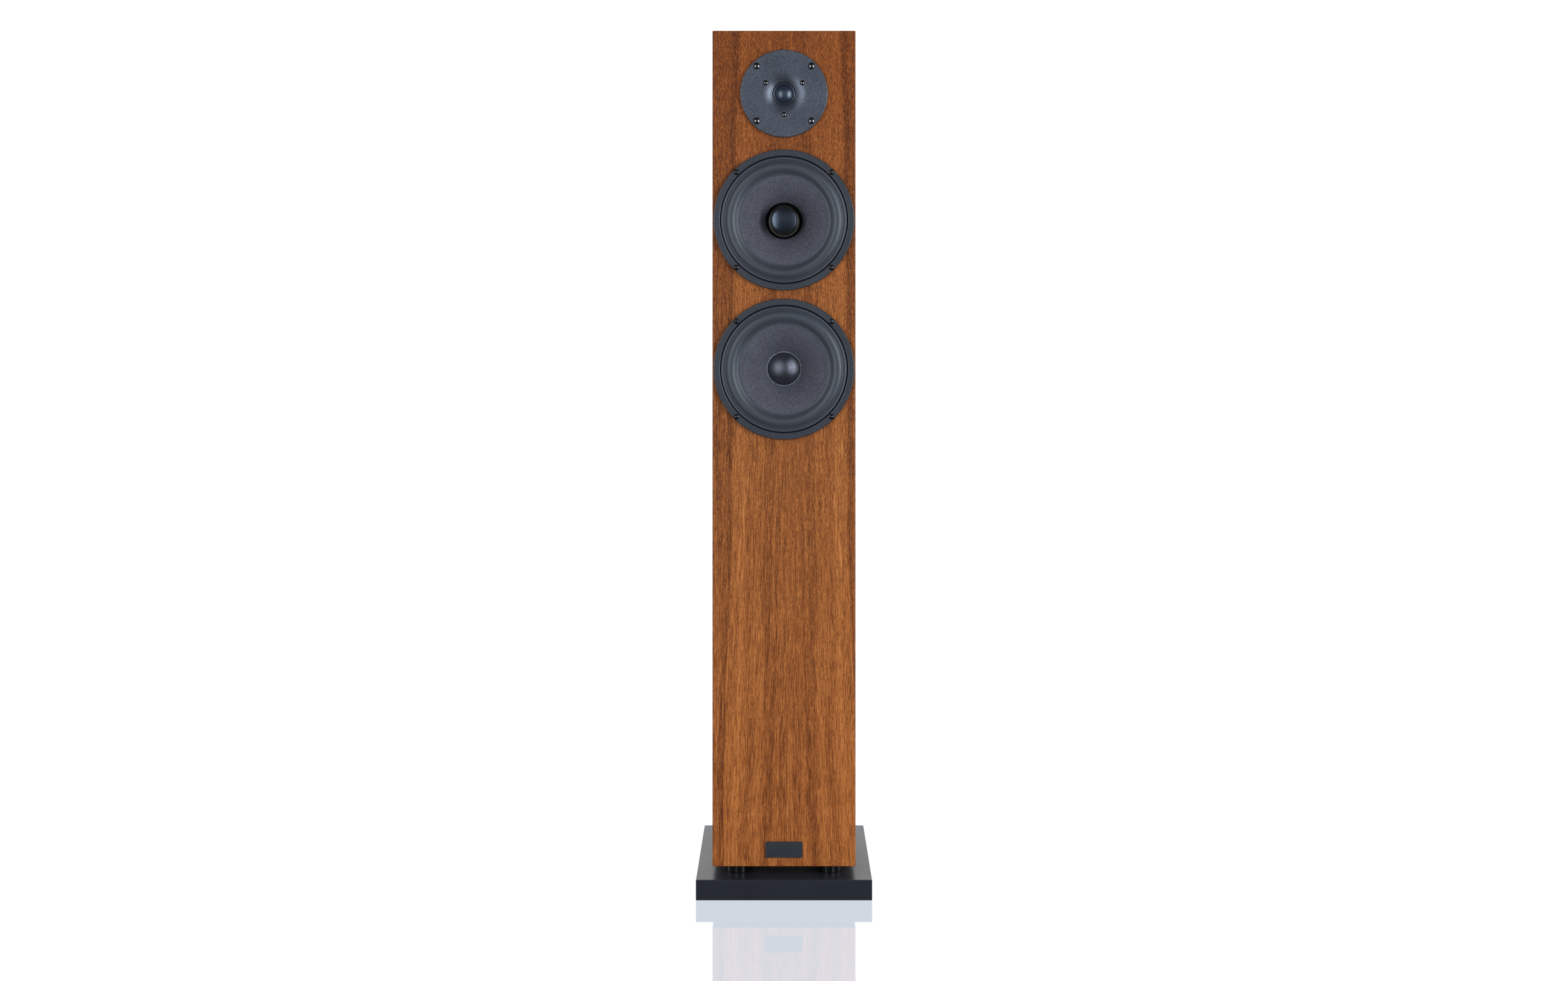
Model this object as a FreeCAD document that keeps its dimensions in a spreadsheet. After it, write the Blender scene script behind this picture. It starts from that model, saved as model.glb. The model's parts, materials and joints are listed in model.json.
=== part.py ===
"""Two-and-a-half-way floorstanding loudspeaker: a veneered reflex cabinet on a plinth.

Row frame: origin on the floor under the middle of the plinth, +Z up, the drivers face -Y.
Turned driver parts are drawn in the driver's own frame: radius along X, and height along Z,
which is 0 on the baffle's front face and grows towards the listener.
"""
import FreeCAD, Part

import math
import os
import re

import Sketcher
from FreeCAD import Placement, Rotation, Vector

DIMENSIONS = {
    # cabinet
    "cab_width": 170, "cab_height": 993, "cab_depth": 250, "panel": 18, "edge_round": 1.2,
    "brace_thick": 15, "brace_low": 259, "brace_pitch": 228.25, "brace_rim_x": 28, "brace_rim_y": 42,
    "badge_width": 44, "badge_tall": 19, "badge_thick": 1.2, "badge_corner": 1.5, "badge_rise": 20.3,
    # plinth and what it stands on
    "plinth_width": 208, "plinth_depth": 290, "plinth_thick": 24, "plinth_edge": 1.2,
    "spacer_height": 11, "spacer_radius": 13, "spacer_x": 54, "spacer_y": 99, "spacer_edge": 0.6,
    "bolt_radius": 3, "bolt_head_radius": 5, "bolt_head_tall": 6, "bolt_sink": 8, "bolt_reach": 13,
    "insert_radius": 4.6, "insert_tall": 14,
    "pad_proud": 1, "pad_thick": 4, "pad_radius": 10, "pad_x": 90, "pad_y": 131,
    "spike_x": 68, "spike_y": 122, "spike_bore": 3.35, "spike_insert_radius": 5.5, "spike_insert_tall": 14,
    # driver places, below the cabinet's top
    "tweeter_drop": 75, "midwoofer_drop": 225, "woofer_drop": 402,
    # tweeter
    "tw_face_radius": 52, "tw_face": 4, "tw_face_back": 0.5, "tw_face_edge": 1, "tw_boss_radius": 37,
    "tw_boss_back": -2, "tw_flare_radius": 28.5, "tw_throat": 14, "tw_throat_top": -0.2,
    "tw_cutout": 38, "tw_screw_ring": 46, "tw_screw_head": 4.05, "tw_screw_shank": 1.75,
    "tw_screw_reach": 16, "tw_screw_sink": 1.7, "tw_screw_crown": 0.9,
    "tw_small_ring": 25.1, "tw_small_head": 3.05, "tw_small_shank": 1.4, "tw_small_reach": 5,
    "tw_dome_radius": 10.9, "tw_dome_base": -2.3, "tw_dome_tall": 4.4, "tw_skin": 0.3,
    "tw_roll_outer": 13.7, "tw_land_outer": 16.5, "tw_roll_rise": 1.15, "tw_plate_top": -2.6,
    "tw_plate_thick": 4, "tw_magnet_thick": 9, "tw_back_thick": 4, "tw_motor_radius": 35,
    "tw_magnet_radius": 33.5, "tw_magnet_hole": 17, "tw_gap_outer": 11.5, "tw_pole_radius": 10,
    "tw_former_radius": 10.5, "tw_former_wall": 0.2, "tw_former_tall": 6, "tw_coil_build": 0.35,
    "tw_coil_tall": 2.4, "tw_coil_low": 5.8,
    # both woofers: frame
    "wf_flange_radius": 83.5, "wf_flange_back": 1, "wf_flange_front": 5, "wf_flange_edge": 0.9,
    "wf_flange_opening": 75.6, "wf_opening_edge": 1.5, "wf_seat": 1.6, "wf_seat_inner": 68,
    "wf_wall_top_inner": 66, "wf_wall_top": -6, "wf_ledge": -33, "wf_wall_low_inner": 52,
    "wf_ledge_inner": 44, "wf_floor": -42, "wf_floor_thick": 2.5, "wf_floor_inner": 30,
    "wf_barrel": 71.5, "wf_barrel_back": -2, "wf_window_inner": 55.5, "wf_window_outer": 64.8,
    "wf_window_half_angle": 19, "wf_cutout": 72, "wf_relief": 28,
    "wf_screw_ring": 79.9, "wf_screw_head": 3.3, "wf_screw_recess": 3.45, "wf_screw_shank": 2,
    "wf_screw_sink": 1.9, "wf_screw_crown": 1.7, "wf_screw_reach": 20,
    # both woofers: moving parts
    "rim_outer": 74.4, "rim_front": 3.7, "rim_groove": 71.2, "rim_bead": 70.3, "roll_outer": 69.5,
    "roll_inner": 57, "roll_rise": 3.2, "roll_skin": 0.9, "roll_outer_front": 2.5, "land_inner": 52.8,
    "land_front": 1.9, "cone_front": 1, "cone_skin": 0.8, "neck_radius": 19.35, "neck": -24,
    "cone_rise": 3, "former_radius": 19.2, "former_wall": 0.4, "former_top": -23, "former_low": -56,
    "coil_build": 0.8, "coil_top": -38, "coil_low": -52,
    "spider_inner": 19.5, "spider_outer": 51, "spider_skin": 0.6, "spider_rise": 1.1,
    "cap_radius": 20.2, "cap_base": -22.8, "cap_tall": 9, "cap_skin": 0.6,
    "plug_radius": 17, "plug_shoulder": -2.5, "plug_front": 0, "plug_ring": 16, "plug_disc": 15.1,
    "plug_groove": 2.4, "plug_crown": 1, "plug_round": 3,
    # both woofers: motor
    "motor_gap_outer": 20.6, "motor_plate_radius": 45, "motor_plate_thick": 6, "motor_magnet_radius": 50,
    "motor_magnet_hole": 25, "motor_magnet_thick": 18, "motor_back_thick": 6, "motor_pole_radius": 18.3,
    # gaskets
    "gasket_inner": 73.2, "gasket_outer": 83, "gasket_slack": 0.4, "tw_gasket_inner": 38.5,
    "tw_gasket_outer": 51.5,
    # reflex port
    "port_rise": 330, "port_radius": 27.5, "port_wall": 3, "port_flare": 11, "port_flange_radius": 46,
    "port_flange_proud": 2.5, "port_length": 112.5, "port_inner_flare": 7.5, "port_cutout": 38,
    "port_shoulder": 37.7, "port_shoulder_deep": 16,
    # terminals
    "term_rise": 150, "term_width": 90, "term_tall": 60, "term_thick": 3,
    "term_gap": 0.3, "term_window_width": 66, "term_window_tall": 36, "term_screw_x": 39,
    "term_screw_y": 24, "term_screw_shank": 1.5, "term_screw_head": 3, "term_screw_proud": 1.2,
    "term_screw_reach": 14, "post_x": 19, "post_thread": 3.5, "post_hole": 3.6, "post_flange": 6.6,
    "post_flange_thick": 2, "post_front": 16.5, "post_back": -20, "post_bore": 2, "post_bore_deep": 14,
    "collar_inner": 3.7, "collar_outer": 5.8, "collar_thick": 1.9, "knob_bore": 3.57, "knob_radius": 6.7,
    "knob_back": 4.1, "knob_front": 17.5, "knob_edge": 0.8,
    # crossover, wiring and damping inside
    "board_width": 104, "board_deep": 150, "board_thick": 1.6, "board_rise": 8, "board_y": 10,
    "board_foot": 3, "coil_outer": 23, "coil_inner": 9, "coil_tall": 20, "coil_x": 25, "coil_y": 52,
    "cap_body": 9, "cap_long": 40, "cap_pitch": 21, "resistor_side": 9, "resistor_long": 45,
    "wire_radius": 1.6, "wire_bend": 12, "wire_run_y": -20, "wire_gap": 9, "wire_low": 70,
    "felt_thick": 8, "felt_low": 520, "felt_tall": 180, "felt_front": -45, "felt_deep": 145,
    # fits
    "screw_slack": 0.05, "hole_slack": 0.35,
}

doc = FreeCAD.newDocument("Floorstanding_loudspeaker")
sheet = doc.addObject("Spreadsheet::Sheet", "Sizes")
for row, (alias, number) in enumerate(DIMENSIONS.items(), start=1):
    sheet.set(f"A{row}", alias)
    sheet.set(f"B{row}", str(number))
    sheet.setAlias(f"B{row}", alias)
doc.recompute()

CABINET_LOW = "(pad_proud + plinth_thick + spacer_height)"
CABINET_HIGH = f"({CABINET_LOW} + cab_height)"
FRONT = "(-cab_depth / 2)"
BACK = "(cab_depth / 2)"
FACING_FRONT = Rotation(Vector(1, 0, 0), 90)
FACING_BACK = Rotation(Vector(1, 0, 0), -90)
UPRIGHT = Rotation()
HALF_TURN = Rotation(Vector(0, 0, 1), 180)
X_TO_Y_TO_Z = Rotation(Vector(1, 1, 1), 120)
INWARD_FROM_LEFT = Rotation(Vector(0, 0, 1), -90)
INWARD_FROM_RIGHT = Rotation(Vector(0, 0, 1), 90)
INWARD_FROM_TOP = Rotation(Vector(1, 0, 0), -90)
INWARD_FROM_BOTTOM = Rotation(Vector(1, 0, 0), 90)

subparts = {}


# ---------------------------------------------------------------- expressions and placing

def formula(text):
    """The text with each alias written as a reference to the sheet."""
    return re.sub(r"[a-z_][a-z_0-9]*", lambda word: f"Sizes.{word[0]}" if word[0] in DIMENSIONS else word[0], text)


def number(text):
    """What a formula over the sheet comes to now."""
    return float(sheet.evalExpression(formula(text)))


def bind(thing, prop, text):
    thing.setExpression(prop, formula(text))


def place(thing, x="0", y="0", z="0", turn=UPRIGHT):
    """Sets a Placement whose position follows the sheet."""
    thing.Placement = Placement(Vector(number(x), number(y), number(z)), turn)
    for axis, text in zip("xyz", (x, y, z)):
        if text != "0":
            bind(thing, f"Placement.Base.{axis}", text)
    return thing


def keep(label, thing):
    """Marks an object as the sub-part of that name."""
    thing.Label = label
    subparts[label] = thing
    return thing


# ---------------------------------------------------------------- sketches and features

def new_body(label):
    return doc.addObject("PartDesign::Body", label)


def new_sketch(body, name, role, height="0"):
    """An empty sketch on one of the body's own origin planes, raised along the plane's normal."""
    sketch = body.newObject("Sketcher::SketchObject", f"{body.Name}_{name}")
    plane = next(feature for feature in body.Origin.OriginFeatures if feature.Role == role)
    sketch.AttachmentSupport = [(plane, "")]
    sketch.MapMode = "FlatFace"
    if height != "0":
        sketch.AttachmentOffset = Placement(Vector(0, 0, number(height)), Rotation())
        bind(sketch, "AttachmentOffset.Base.z", height)
    return sketch


def pin_point(sketch, geometry, end, x, y):
    """Holds one point of a sketch at (x, y), both formulas."""
    for kind, axis, text in (("DistanceX", -2, x), ("DistanceY", -1, y)):
        if text == "0":
            sketch.addConstraint(Sketcher.Constraint("PointOnObject", geometry, end, axis))
        else:
            index = sketch.addConstraint(Sketcher.Constraint(kind, -1, 1, geometry, end, number(text)))
            bind(sketch, f"Constraints[{index}]", text)


def arc_on_chord(start, finish, rise):
    """The counterclockwise arc between two points that stands off their chord; left is positive."""
    chord = finish - start
    left = Vector(-chord.y, chord.x, 0).normalize()
    radius = chord.Length ** 2 / (8 * abs(rise)) + abs(rise) / 2
    centre = (start + finish) / 2 + left * (rise - math.copysign(radius, rise))
    first, last = (finish, start) if rise > 0 else (start, finish)
    begin = math.atan2(first.y - centre.y, first.x - centre.x)
    stop = math.atan2(last.y - centre.y, last.x - centre.x)
    if stop < begin:
        stop += 2 * math.pi
    return Part.ArcOfCircle(Part.Circle(centre, Vector(0, 0, 1), radius), begin, stop)


def draw_outline(sketch, points, closed=True):
    """Joins points (x, y) by straight edges; (x, y, rise) starts an arc that rises to the left of its chord."""
    count = len(points)
    ends = []
    for index in range(count if closed else count - 1):
        here, there = points[index], points[(index + 1) % count]
        start = Vector(number(here[0]), number(here[1]), 0)
        finish = Vector(number(there[0]), number(there[1]), 0)
        if len(here) == 2:
            sketch.addGeometry(Part.LineSegment(start, finish))
            ends.append((index, 1, 2))
            continue
        rise = number(here[2])
        sketch.addGeometry(arc_on_chord(start, finish, rise))
        ends.append((index, 2, 1) if rise > 0 else (index, 1, 2))
        span = f"(pow({there[0]} - ({here[0]}); 2) + pow({there[1]} - ({here[1]}); 2))"
        radius = f"{span} / (8 * abs({here[2]})) + abs({here[2]}) / 2"
        constraint = sketch.addConstraint(Sketcher.Constraint("Radius", index, number(radius)))
        bind(sketch, f"Constraints[{constraint}]", radius)
    for index, (edge, first, last) in enumerate(ends):
        pin_point(sketch, edge, first, points[index][0], points[index][1])
        if closed or index + 1 < len(ends):
            after, after_first, _ = ends[(index + 1) % len(ends)]
            sketch.addConstraint(Sketcher.Constraint("Coincident", edge, last, after, after_first))
        else:
            pin_point(sketch, edge, last, points[-1][0], points[-1][1])
    return sketch


def draw_circles(sketch, centres, radius):
    for index, (x, y) in enumerate(centres):
        centre = Vector(number(x), number(y), 0)
        sketch.addGeometry(Part.Circle(centre, Vector(0, 0, 1), number(radius)))
        constraint = sketch.addConstraint(Sketcher.Constraint("Radius", index, number(radius)))
        bind(sketch, f"Constraints[{constraint}]", radius)
        pin_point(sketch, index, 3, x, y)
    return sketch


def draw_rectangle(sketch, width, depth, x="0", y="0"):
    corners = [(f"{x} + {sx} * ({width}) / 2", f"{y} + {sy} * ({depth}) / 2")
               for sx, sy in (("-1", "-1"), ("1", "-1"), ("1", "1"), ("-1", "1"))]
    return draw_outline(sketch, corners)


def add_feature(body, kind, name, sketch, **lengths):
    feature = body.newObject(f"PartDesign::{kind}", f"{body.Name}_{name}")
    feature.Profile = sketch
    for prop, text in lengths.items():
        setattr(feature, prop, number(text))
        bind(feature, prop, text)
    return feature


def turned(body, name, points):
    """Revolves an outline of (radius, height) points about the body's Z axis."""
    sketch = draw_outline(new_sketch(body, f"{name}_outline", "XZ_Plane"), points)
    turn = body.newObject("PartDesign::Revolution", f"{body.Name}_{name}")
    turn.Profile = sketch
    turn.ReferenceAxis = (sketch, ["V_Axis"])
    turn.Angle = 360
    return turn


def pad_circles(body, name, centres, radius, low, tall):
    sketch = draw_circles(new_sketch(body, f"{name}_circles", "XY_Plane", low), centres, radius)
    return add_feature(body, "Pad", name, sketch, Length=tall)


def pad_rectangle(body, name, width, depth, low, tall, x="0", y="0"):
    sketch = draw_rectangle(new_sketch(body, f"{name}_outline", "XY_Plane", low), width, depth, x, y)
    return add_feature(body, "Pad", name, sketch, Length=tall)


def pocket_circles(body, name, centres, radius, high, deep):
    """Bores downwards from a height; the volume must fall."""
    sketch = draw_circles(new_sketch(body, f"{name}_circles", "XY_Plane", high), centres, radius)
    return pocket(body, name, sketch, deep)


def pocket(body, name, sketch, deep):
    doc.recompute()
    before = body.Shape.Volume
    feature = add_feature(body, "Pocket", name, sketch, Length=deep)
    doc.recompute()
    if body.Shape.Volume >= before:
        raise RuntimeError(f"{body.Name} {name} cuts nothing")
    return feature


def round_edges(body, name, base, edges, radius):
    """Fillets the named edges of a feature with a radius from the sheet."""
    feature = body.newObject("PartDesign::Fillet", f"{body.Name}_{name}")
    feature.Base = (base, edges)
    feature.Radius = number(radius)
    bind(feature, "Radius", radius)
    return feature


def upright_edges(shape):
    """Names of a shape's straight edges that run along Z."""
    names = []
    for index, edge in enumerate(shape.Edges, start=1):
        along = edge.tangentAt(edge.FirstParameter)
        if edge.Curve.TypeId == "Part::GeomLine" and abs(along.z) > 0.99:
            names.append(f"Edge{index}")
    return names


def edges_at_height(shape, height):
    """Names of a shape's edges that lie wholly at one height."""
    return [f"Edge{index}" for index, edge in enumerate(shape.Edges, start=1)
            if max(abs(vertex.Z - height) for vertex in edge.Vertexes) < 1e-6]


def cylinder(label, radius, tall, x="0", y="0", z="0", turn=UPRIGHT):
    tool = doc.addObject("Part::Cylinder", label)
    bind(tool, "Radius", radius)
    bind(tool, "Height", tall)
    return place(tool, x, y, z, turn)


def box(label, width, depth, tall, x="0", y="0", z="0"):
    """A box centred on x and y that starts at height z."""
    tool = doc.addObject("Part::Box", label)
    bind(tool, "Length", width)
    bind(tool, "Width", depth)
    bind(tool, "Height", tall)
    return place(tool, f"{x} - ({width}) / 2", f"{y} - ({depth}) / 2", z)


def compound(label, links):
    group = doc.addObject("Part::Compound", label)
    group.Links = links
    return group


def cut(label, base, tools):
    """The base less every tool; the tools keep clear of each other."""
    result = doc.addObject("Part::Cut", label)
    result.Base = base
    result.Tool = tools[0] if len(tools) == 1 else compound(f"{label}_tools", tools)
    return result


def four_corners(x, y):
    return [(f"{sx} * {x}", f"{sy} * {y}") for sx in ("-1", "1") for sy in ("-1", "1")]


def on_ring(radius, degrees):
    """Centres on a circle, one for each angle from +X."""
    return [(f"{radius} * {math.cos(math.radians(angle)):.9f}", f"{radius} * {math.sin(math.radians(angle)):.9f}")
            for angle in degrees]


def cap_rise(run, drop):
    """Rise of the arc that leaves its start level and drops by that much over that run."""
    chord = f"(pow({run}; 2) + pow({drop}; 2))"
    radius = f"({chord} / (2 * ({drop})))"
    return f"({radius} - sqrt(pow({radius}; 2) - {chord} / 4))"


DIAGONALS = (45, 135, 225, 315)
THIRDS = (30, 150, 270)


# ---------------------------------------------------------------- cabinet

def driver_height(drop):
    return f"({CABINET_HIGH} - {drop})"


def front_cylinder(label, radius, deep, x, z, low="-1"):
    """A cutter that starts low in front of the baffle and runs back into the cabinet."""
    return cylinder(label, radius, f"{deep} - ({low})", x, f"{FRONT} + ({low})", z, FACING_BACK)


def make_cabinet_block():
    """The cabinet's outside with every edge slightly rounded; the six panels are cut from it."""
    body = new_body("cabinet_block")
    pad = pad_rectangle(body, "solid", "cab_width", "cab_depth", CABINET_LOW, "cab_height")
    doc.recompute()
    every_edge = [f"Edge{index + 1}" for index in range(len(pad.Shape.Edges))]
    round_edges(body, "rounding", pad, every_edge, "edge_round")
    doc.recompute()
    return body


def mitred_blank(label, block, width, tall, x, y, z, turn):
    """One panel: a wedge with four 45 degree mitres, its outer face at its own y = 0."""
    wedge = doc.addObject("Part::Wedge", f"{label}_wedge")
    limits = {
        "Ymin": "0", "Ymax": "panel",
        "Xmin": f"-({width}) / 2", "Xmax": f"({width}) / 2",
        "Zmin": f"-({tall}) / 2", "Zmax": f"({tall}) / 2",
        "X2min": f"-({width}) / 2 + panel", "X2max": f"({width}) / 2 - panel",
        "Z2min": f"-({tall}) / 2 + panel", "Z2max": f"({tall}) / 2 - panel",
    }
    for prop, text in limits.items():
        setattr(wedge, prop, number(text))
        if text != "0":
            bind(wedge, prop, text)
    place(wedge, x, y, z, turn)
    blank = doc.addObject("Part::Common", f"{label}_blank")
    blank.Base = wedge
    blank.Tool = block
    return blank


def driver_cutters(label):
    """Cutters for the three driver openings, which also relieve the side panels behind the baffle."""
    openings = (("tweeter", "tw_cutout", "panel + 1"), ("midwoofer", "wf_cutout", "wf_relief"),
                ("woofer", "wf_cutout", "wf_relief"))
    return [front_cylinder(f"{label}_{name}_opening", radius, deep, "0", driver_height(f"{name}_drop"))
            for name, radius, deep in openings]


def screw_cutters(label):
    """Pilot holes in the baffle for the screws that hold the three drivers."""
    rings = (("tweeter", "tw_screw_ring", "tw_screw_shank", "tw_screw_reach"),
             ("midwoofer", "wf_screw_ring", "wf_screw_shank", "wf_screw_reach"),
             ("woofer", "wf_screw_ring", "wf_screw_shank", "wf_screw_reach"))
    cutters = []
    for name, ring, shank, reach in rings:
        for index, (x, up) in enumerate(on_ring(ring, DIAGONALS), start=1):
            centre = f"{driver_height(name + '_drop')} + {up}"
            cutters.append(front_cylinder(f"{label}_{name}_pilot_{index}", f"{shank} + screw_slack",
                                          f"{reach} - 3", x, centre))
    return cutters


def make_panels(block):
    middle = f"({CABINET_LOW} + cab_height / 2)"
    front = mitred_blank("front_baffle", block, "cab_width", "cab_height", "0", FRONT, middle, UPRIGHT)
    keep("front_baffle", cut("front_baffle", front, driver_cutters("baffle") + screw_cutters("baffle")))

    sides = (("left_side_panel", "-cab_width / 2", INWARD_FROM_LEFT),
             ("right_side_panel", "cab_width / 2", INWARD_FROM_RIGHT))
    for label, x, turn in sides:
        blank = mitred_blank(label, block, "cab_depth", "cab_height", x, "0", middle, turn)
        keep(label, cut(label, blank, driver_cutters(label)))

    keep("top_panel", mitred_blank("top_panel", block, "cab_width", "cab_depth", "0", "0", CABINET_HIGH,
                                   INWARD_FROM_TOP))

    bottom = mitred_blank("bottom_panel", block, "cab_width", "cab_depth", "0", "0", CABINET_LOW,
                          INWARD_FROM_BOTTOM)
    insert_holes = [cylinder(f"bottom_panel_hole_{index}", "insert_radius + screw_slack", "insert_tall + 2",
                             x, y, f"{CABINET_LOW} - 1")
                    for index, (x, y) in enumerate(four_corners("spacer_x", "spacer_y"), start=1)]
    keep("bottom_panel", cut("bottom_panel", bottom, insert_holes))

    back = mitred_blank("back_panel", block, "cab_width", "cab_height", "0", BACK, middle, HALF_TURN)
    port_hole = cylinder("back_panel_port", "port_cutout", "panel + 2", "0", f"{BACK} + 1", "port_rise",
                         FACING_FRONT)
    rebate = box("back_panel_rebate", "term_width + 2 * term_gap", "term_thick + 1",
                 "term_tall + 2 * term_gap", "0", f"{BACK} - (term_thick - 1) / 2",
                 "term_rise - term_tall / 2 - term_gap")
    window = box("back_panel_window", "term_window_width", "panel", "term_window_tall", "0",
                 f"{BACK} - term_thick - panel / 2", "term_rise - term_window_tall / 2")
    opened = cut("back_panel_opened", back, [port_hole, rebate])
    pilots = [cylinder(f"back_panel_pilot_{index}", "term_screw_shank + screw_slack", "term_screw_reach + 1",
                       x, BACK, f"term_rise + {z}", FACING_FRONT)
              for index, (x, z) in enumerate(four_corners("term_screw_x", "term_screw_y"), start=1)]
    keep("back_panel", cut("back_panel", opened, [window] + pilots))


def make_braces():
    """Window braces at even heights between the side walls."""
    body = new_body("cabinet_braces")
    inner_width = "(cab_width - 2 * panel)"
    inner_depth = "(cab_depth - 2 * panel)"
    low = "brace_low - brace_thick / 2"
    plate = pad_rectangle(body, "plate", inner_width, inner_depth, low, "brace_thick")
    window = new_sketch(body, "window", "XY_Plane", "brace_low + brace_thick / 2")
    draw_rectangle(window, f"{inner_width} - brace_rim_x", f"{inner_depth} - brace_rim_y")
    opening = pocket(body, "window_cut", window, "brace_thick")
    doc.recompute()
    pattern = body.newObject("PartDesign::LinearPattern", "cabinet_braces_row")
    pattern.Originals = [plate, opening]
    upward = next(feature for feature in body.Origin.OriginFeatures if feature.Role == "Z_Axis")
    pattern.Direction = (upward, [""])
    pattern.Occurrences = 3
    bind(pattern, "Length", "2 * brace_pitch")
    body.Tip = pattern
    keep("cabinet_braces", body)


def make_badge():
    """Plain plate low on the baffle."""
    body = new_body("front_badge")
    plate = pad_rectangle(body, "plate", "badge_width", "badge_tall", "0", "badge_thick")
    doc.recompute()
    round_edges(body, "corners", plate, upright_edges(plate.Shape), "badge_corner")
    place(body, "0", FRONT, f"{CABINET_LOW} + badge_rise", FACING_FRONT)
    keep("front_badge", body)


# ---------------------------------------------------------------- plinth

def make_plinth():
    body = new_body("plinth")
    slab = pad_rectangle(body, "slab", "plinth_width", "plinth_depth", "pad_proud", "plinth_thick")
    doc.recompute()
    rounded = upright_edges(slab.Shape) + edges_at_height(slab.Shape, number("pad_proud + plinth_thick"))
    round_edges(body, "rounding", slab, rounded, "plinth_edge")
    top = "pad_proud + plinth_thick + 1"
    bolts = four_corners("spacer_x", "spacer_y")
    pocket_circles(body, "bolt_holes", bolts, "bolt_radius + hole_slack", top, "plinth_thick + 2")
    pocket_circles(body, "bolt_sinks", bolts, "bolt_head_radius + hole_slack", "pad_proud + bolt_sink",
                   "bolt_sink + 1")
    pocket_circles(body, "pad_sinks", four_corners("pad_x", "pad_y"), "pad_radius + hole_slack", "pad_thick",
                   "pad_thick + 1")
    pocket_circles(body, "spike_holes", four_corners("spike_x", "spike_y"),
                   "spike_insert_radius + screw_slack", "pad_proud + spike_insert_tall",
                   "spike_insert_tall + 1")
    keep("plinth", body)


def make_spacers():
    base = "pad_proud + plinth_thick"
    for index, (x, y) in enumerate(four_corners("spacer_x", "spacer_y"), start=1):
        label = f"plinth_spacer_{index}"
        body = new_body(label)
        turned(body, "ring", [("bolt_radius + hole_slack", "0"),
                              ("spacer_radius - spacer_edge", "0", "-0.29 * spacer_edge"),
                              ("spacer_radius", "spacer_edge"),
                              ("spacer_radius", "spacer_height - spacer_edge", "-0.29 * spacer_edge"),
                              ("spacer_radius - spacer_edge", "spacer_height"),
                              ("bolt_radius + hole_slack", "spacer_height")])
        place(body, x, y, base)
        keep(label, body)


def make_plinth_fixings():
    bolts = new_body("plinth_bolts")
    corners = four_corners("spacer_x", "spacer_y")
    head_low = "pad_proud + bolt_sink - bolt_head_tall"
    pad_circles(bolts, "heads", corners, "bolt_head_radius", head_low, "bolt_head_tall")
    shank_tall = f"{CABINET_LOW} - pad_proud - bolt_sink + bolt_reach"
    pad_circles(bolts, "shanks", corners, "bolt_radius", "pad_proud + bolt_sink", shank_tall)
    pocket_circles(bolts, "sockets", corners, "bolt_radius - 0.5", f"{head_low} + 3", "4")
    keep("plinth_bolts", bolts)

    inserts = new_body("cabinet_inserts")
    pad_circles(inserts, "barrels", corners, "insert_radius", CABINET_LOW, "insert_tall")
    pocket_circles(inserts, "threads", corners, "bolt_radius + screw_slack",
                   f"{CABINET_LOW} + insert_tall + 1", "insert_tall + 2")
    keep("cabinet_inserts", inserts)

    pads = new_body("floor_pads")
    pad_circles(pads, "discs", four_corners("pad_x", "pad_y"), "pad_radius", "0", "pad_thick")
    keep("floor_pads", pads)

    spikes = new_body("spike_inserts")
    corners = four_corners("spike_x", "spike_y")
    pad_circles(spikes, "barrels", corners, "spike_insert_radius", "pad_proud", "spike_insert_tall")
    pocket_circles(spikes, "threads", corners, "spike_bore", "pad_proud + spike_insert_tall + 1",
                   "spike_insert_tall + 2")
    keep("spike_inserts", spikes)


# ---------------------------------------------------------------- tweeter

def tweeter_body(label):
    return place(new_body(label), "0", FRONT, driver_height("tweeter_drop"), FACING_FRONT)


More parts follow.
